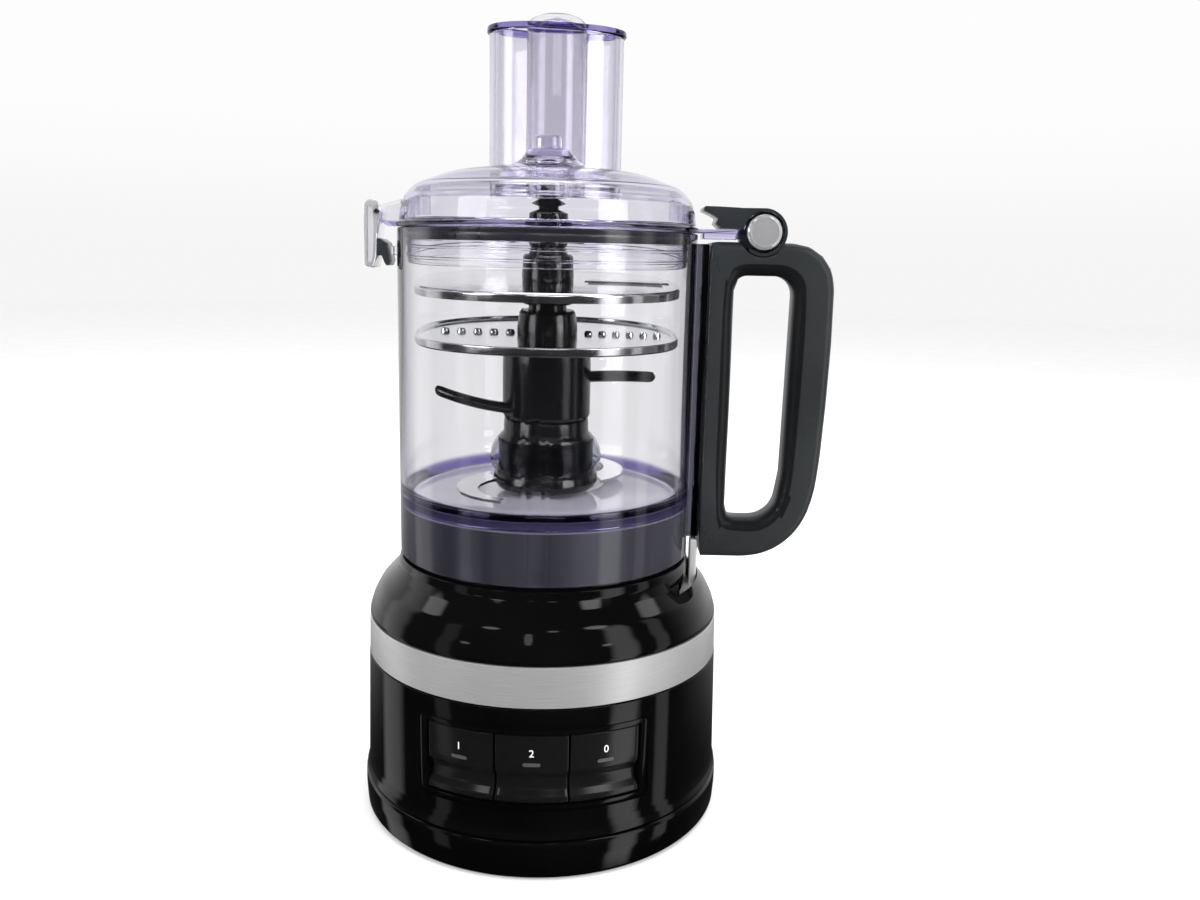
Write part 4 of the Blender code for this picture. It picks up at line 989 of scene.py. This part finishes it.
def wn(kind, op=None, *vals):
    n = wt.nodes.new("ShaderNode" + kind)
    if op:
        n.operation = op
    for i, v in enumerate(vals):
        if v is None:
            continue
        if isinstance(v, (int, float, tuple)):
            n.inputs[i].default_value = v
        else:
            wt.links.new(v, n.inputs[i])
    return n


def ramp(v, a0, a1, b0, b1, smooth=True):
    n = wt.nodes.new("ShaderNodeMapRange")
    n.interpolation_type = "SMOOTHSTEP" if smooth else "LINEAR"
    for i, x in zip(("From Min", "From Max", "To Min", "To Max"), (a0, a1, b0, b1)):
        n.inputs[i].default_value = x
    wt.links.new(v, n.inputs["Value"])
    return n.outputs[0]


def mul(a, b):
    return wn("Math", "MULTIPLY", a, b).outputs[0]


def add(a, b):
    return wn("Math", "ADD", a, b).outputs[0]


out = wt.nodes.new("ShaderNodeOutputWorld")
bg = wt.nodes.new("ShaderNodeBackground")
tc = wt.nodes.new("ShaderNodeTexCoord")
sep = wt.nodes.new("ShaderNodeSeparateXYZ")
wt.links.new(tc.outputs["Generated"], sep.inputs[0])
flat = wn("VectorMath", "MULTIPLY", tc.outputs["Generated"], (1, 1, 0)).outputs[0]
flat = wn("VectorMath", "NORMALIZE", flat).outputs[0]


def strip(az, half, lo, hi, power):
    """Tall soft panel at an azimuth from the front, in degrees, towards +X."""
    a = math.radians(az)
    d = wn("VectorMath", "DOT_PRODUCT", flat, (math.sin(a), -math.cos(a), 0)).outputs["Value"]
    k = ramp(d, math.cos(math.radians(half)), math.cos(math.radians(half * 0.35)), 0.0, power)
    return mul(k, mul(ramp(sep.outputs[2], lo - 0.12, lo, 0, 1), ramp(sep.outputs[2], hi, hi + 0.15, 1, 0)))


def patch(direction, half, power):
    d = Vector(direction).normalized()
    v = wn("VectorMath", "DOT_PRODUCT", tc.outputs["Generated"], tuple(d)).outputs["Value"]
    return ramp(v, math.cos(math.radians(half)), math.cos(math.radians(half * 0.5)), 0.0, power)


room = mul(ramp(sep.outputs[1], 0.0, 0.85, 0.035, 0.95), ramp(sep.outputs[2], -0.45, -0.02, 0.03, 1.0))
for lobe in (strip(56, 12, -0.62, 0.62, 1.35), strip(84, 7, -0.5, 0.5, 0.6), strip(-62, 7, -0.5, 0.5, 0.28), strip(-108, 15, -0.6, 0.5, 0.6),
             patch((0.55, -0.5, 0.85), 8, 3.0), patch((-0.5, -0.6, 0.8), 6, 2.6), patch((-0.9, 0.1, 0.75), 8, 2.0),
             patch((0.9, 0.15, 0.8), 8, 2.0), patch((0, 0.3, 1), 24, 0.7), patch((0.15, -0.8, 0.85), 4, 2.2), patch((-0.12, -0.9, 0.62), 3, 1.6),
             patch((0.75, -0.75, 0.42), 4, 2.4), patch((-0.8, -0.7, 0.38), 4, 1.8)):
    room = add(room, lobe)
lp = wt.nodes.new("ShaderNodeLightPath")
turned = add(lp.outputs["Glossy Depth"], lp.outputs["Diffuse Depth"])
seen = wn("Math", "LESS_THAN", turned, 0.5).outputs[0]          # looked at directly, or through clear plastic
soft = wn("Math", "GREATER_THAN", lp.outputs["Diffuse Depth"], 0.5).outputs[0]
m1 = wt.nodes.new("ShaderNodeMix")
wt.links.new(soft, m1.inputs["Factor"])
wt.links.new(room, m1.inputs["A"])
m1.inputs["B"].default_value = 1.06
m2 = wt.nodes.new("ShaderNodeMix")
wt.links.new(seen, m2.inputs["Factor"])
wt.links.new(m1.outputs["Result"], m2.inputs["A"])
wt.links.new(ramp(sep.outputs[2], 0.0, 0.14, 0.918, 0.985), m2.inputs["B"])       # meets the far floor without a line
wt.links.new(m2.outputs["Result"], bg.inputs["Strength"])
bg.inputs["Color"].default_value = (1, 1, 1, 1)
wt.links.new(bg.outputs[0], out.inputs[0])

# ------------------------------------------------------------------ camera
cam = bpy.data.cameras.new("camera")
cam.sensor_width = 36.0
cam.lens = 1022.0 / 1200.0 * 36.0
cam.clip_start = 0.01
cam.dof.use_dof = False
co = bpy.data.objects.new("camera", cam)
rot = Matrix.Rotation(math.radians(90 - 10.65), 4, "X") @ Matrix.Rotation(math.radians(1.25), 4, "Z")
co.matrix_world = Matrix.Translation((0.0302, -0.5605, 0.3055)) @ rot
bpy.context.scene.collection.objects.link(co)
scene = bpy.context.scene
scene.camera = co
scene.view_settings.view_transform = "Standard"
scene.cycles.max_bounces = 26
scene.cycles.transmission_bounces = 26
scene.cycles.transparent_max_bounces = 24
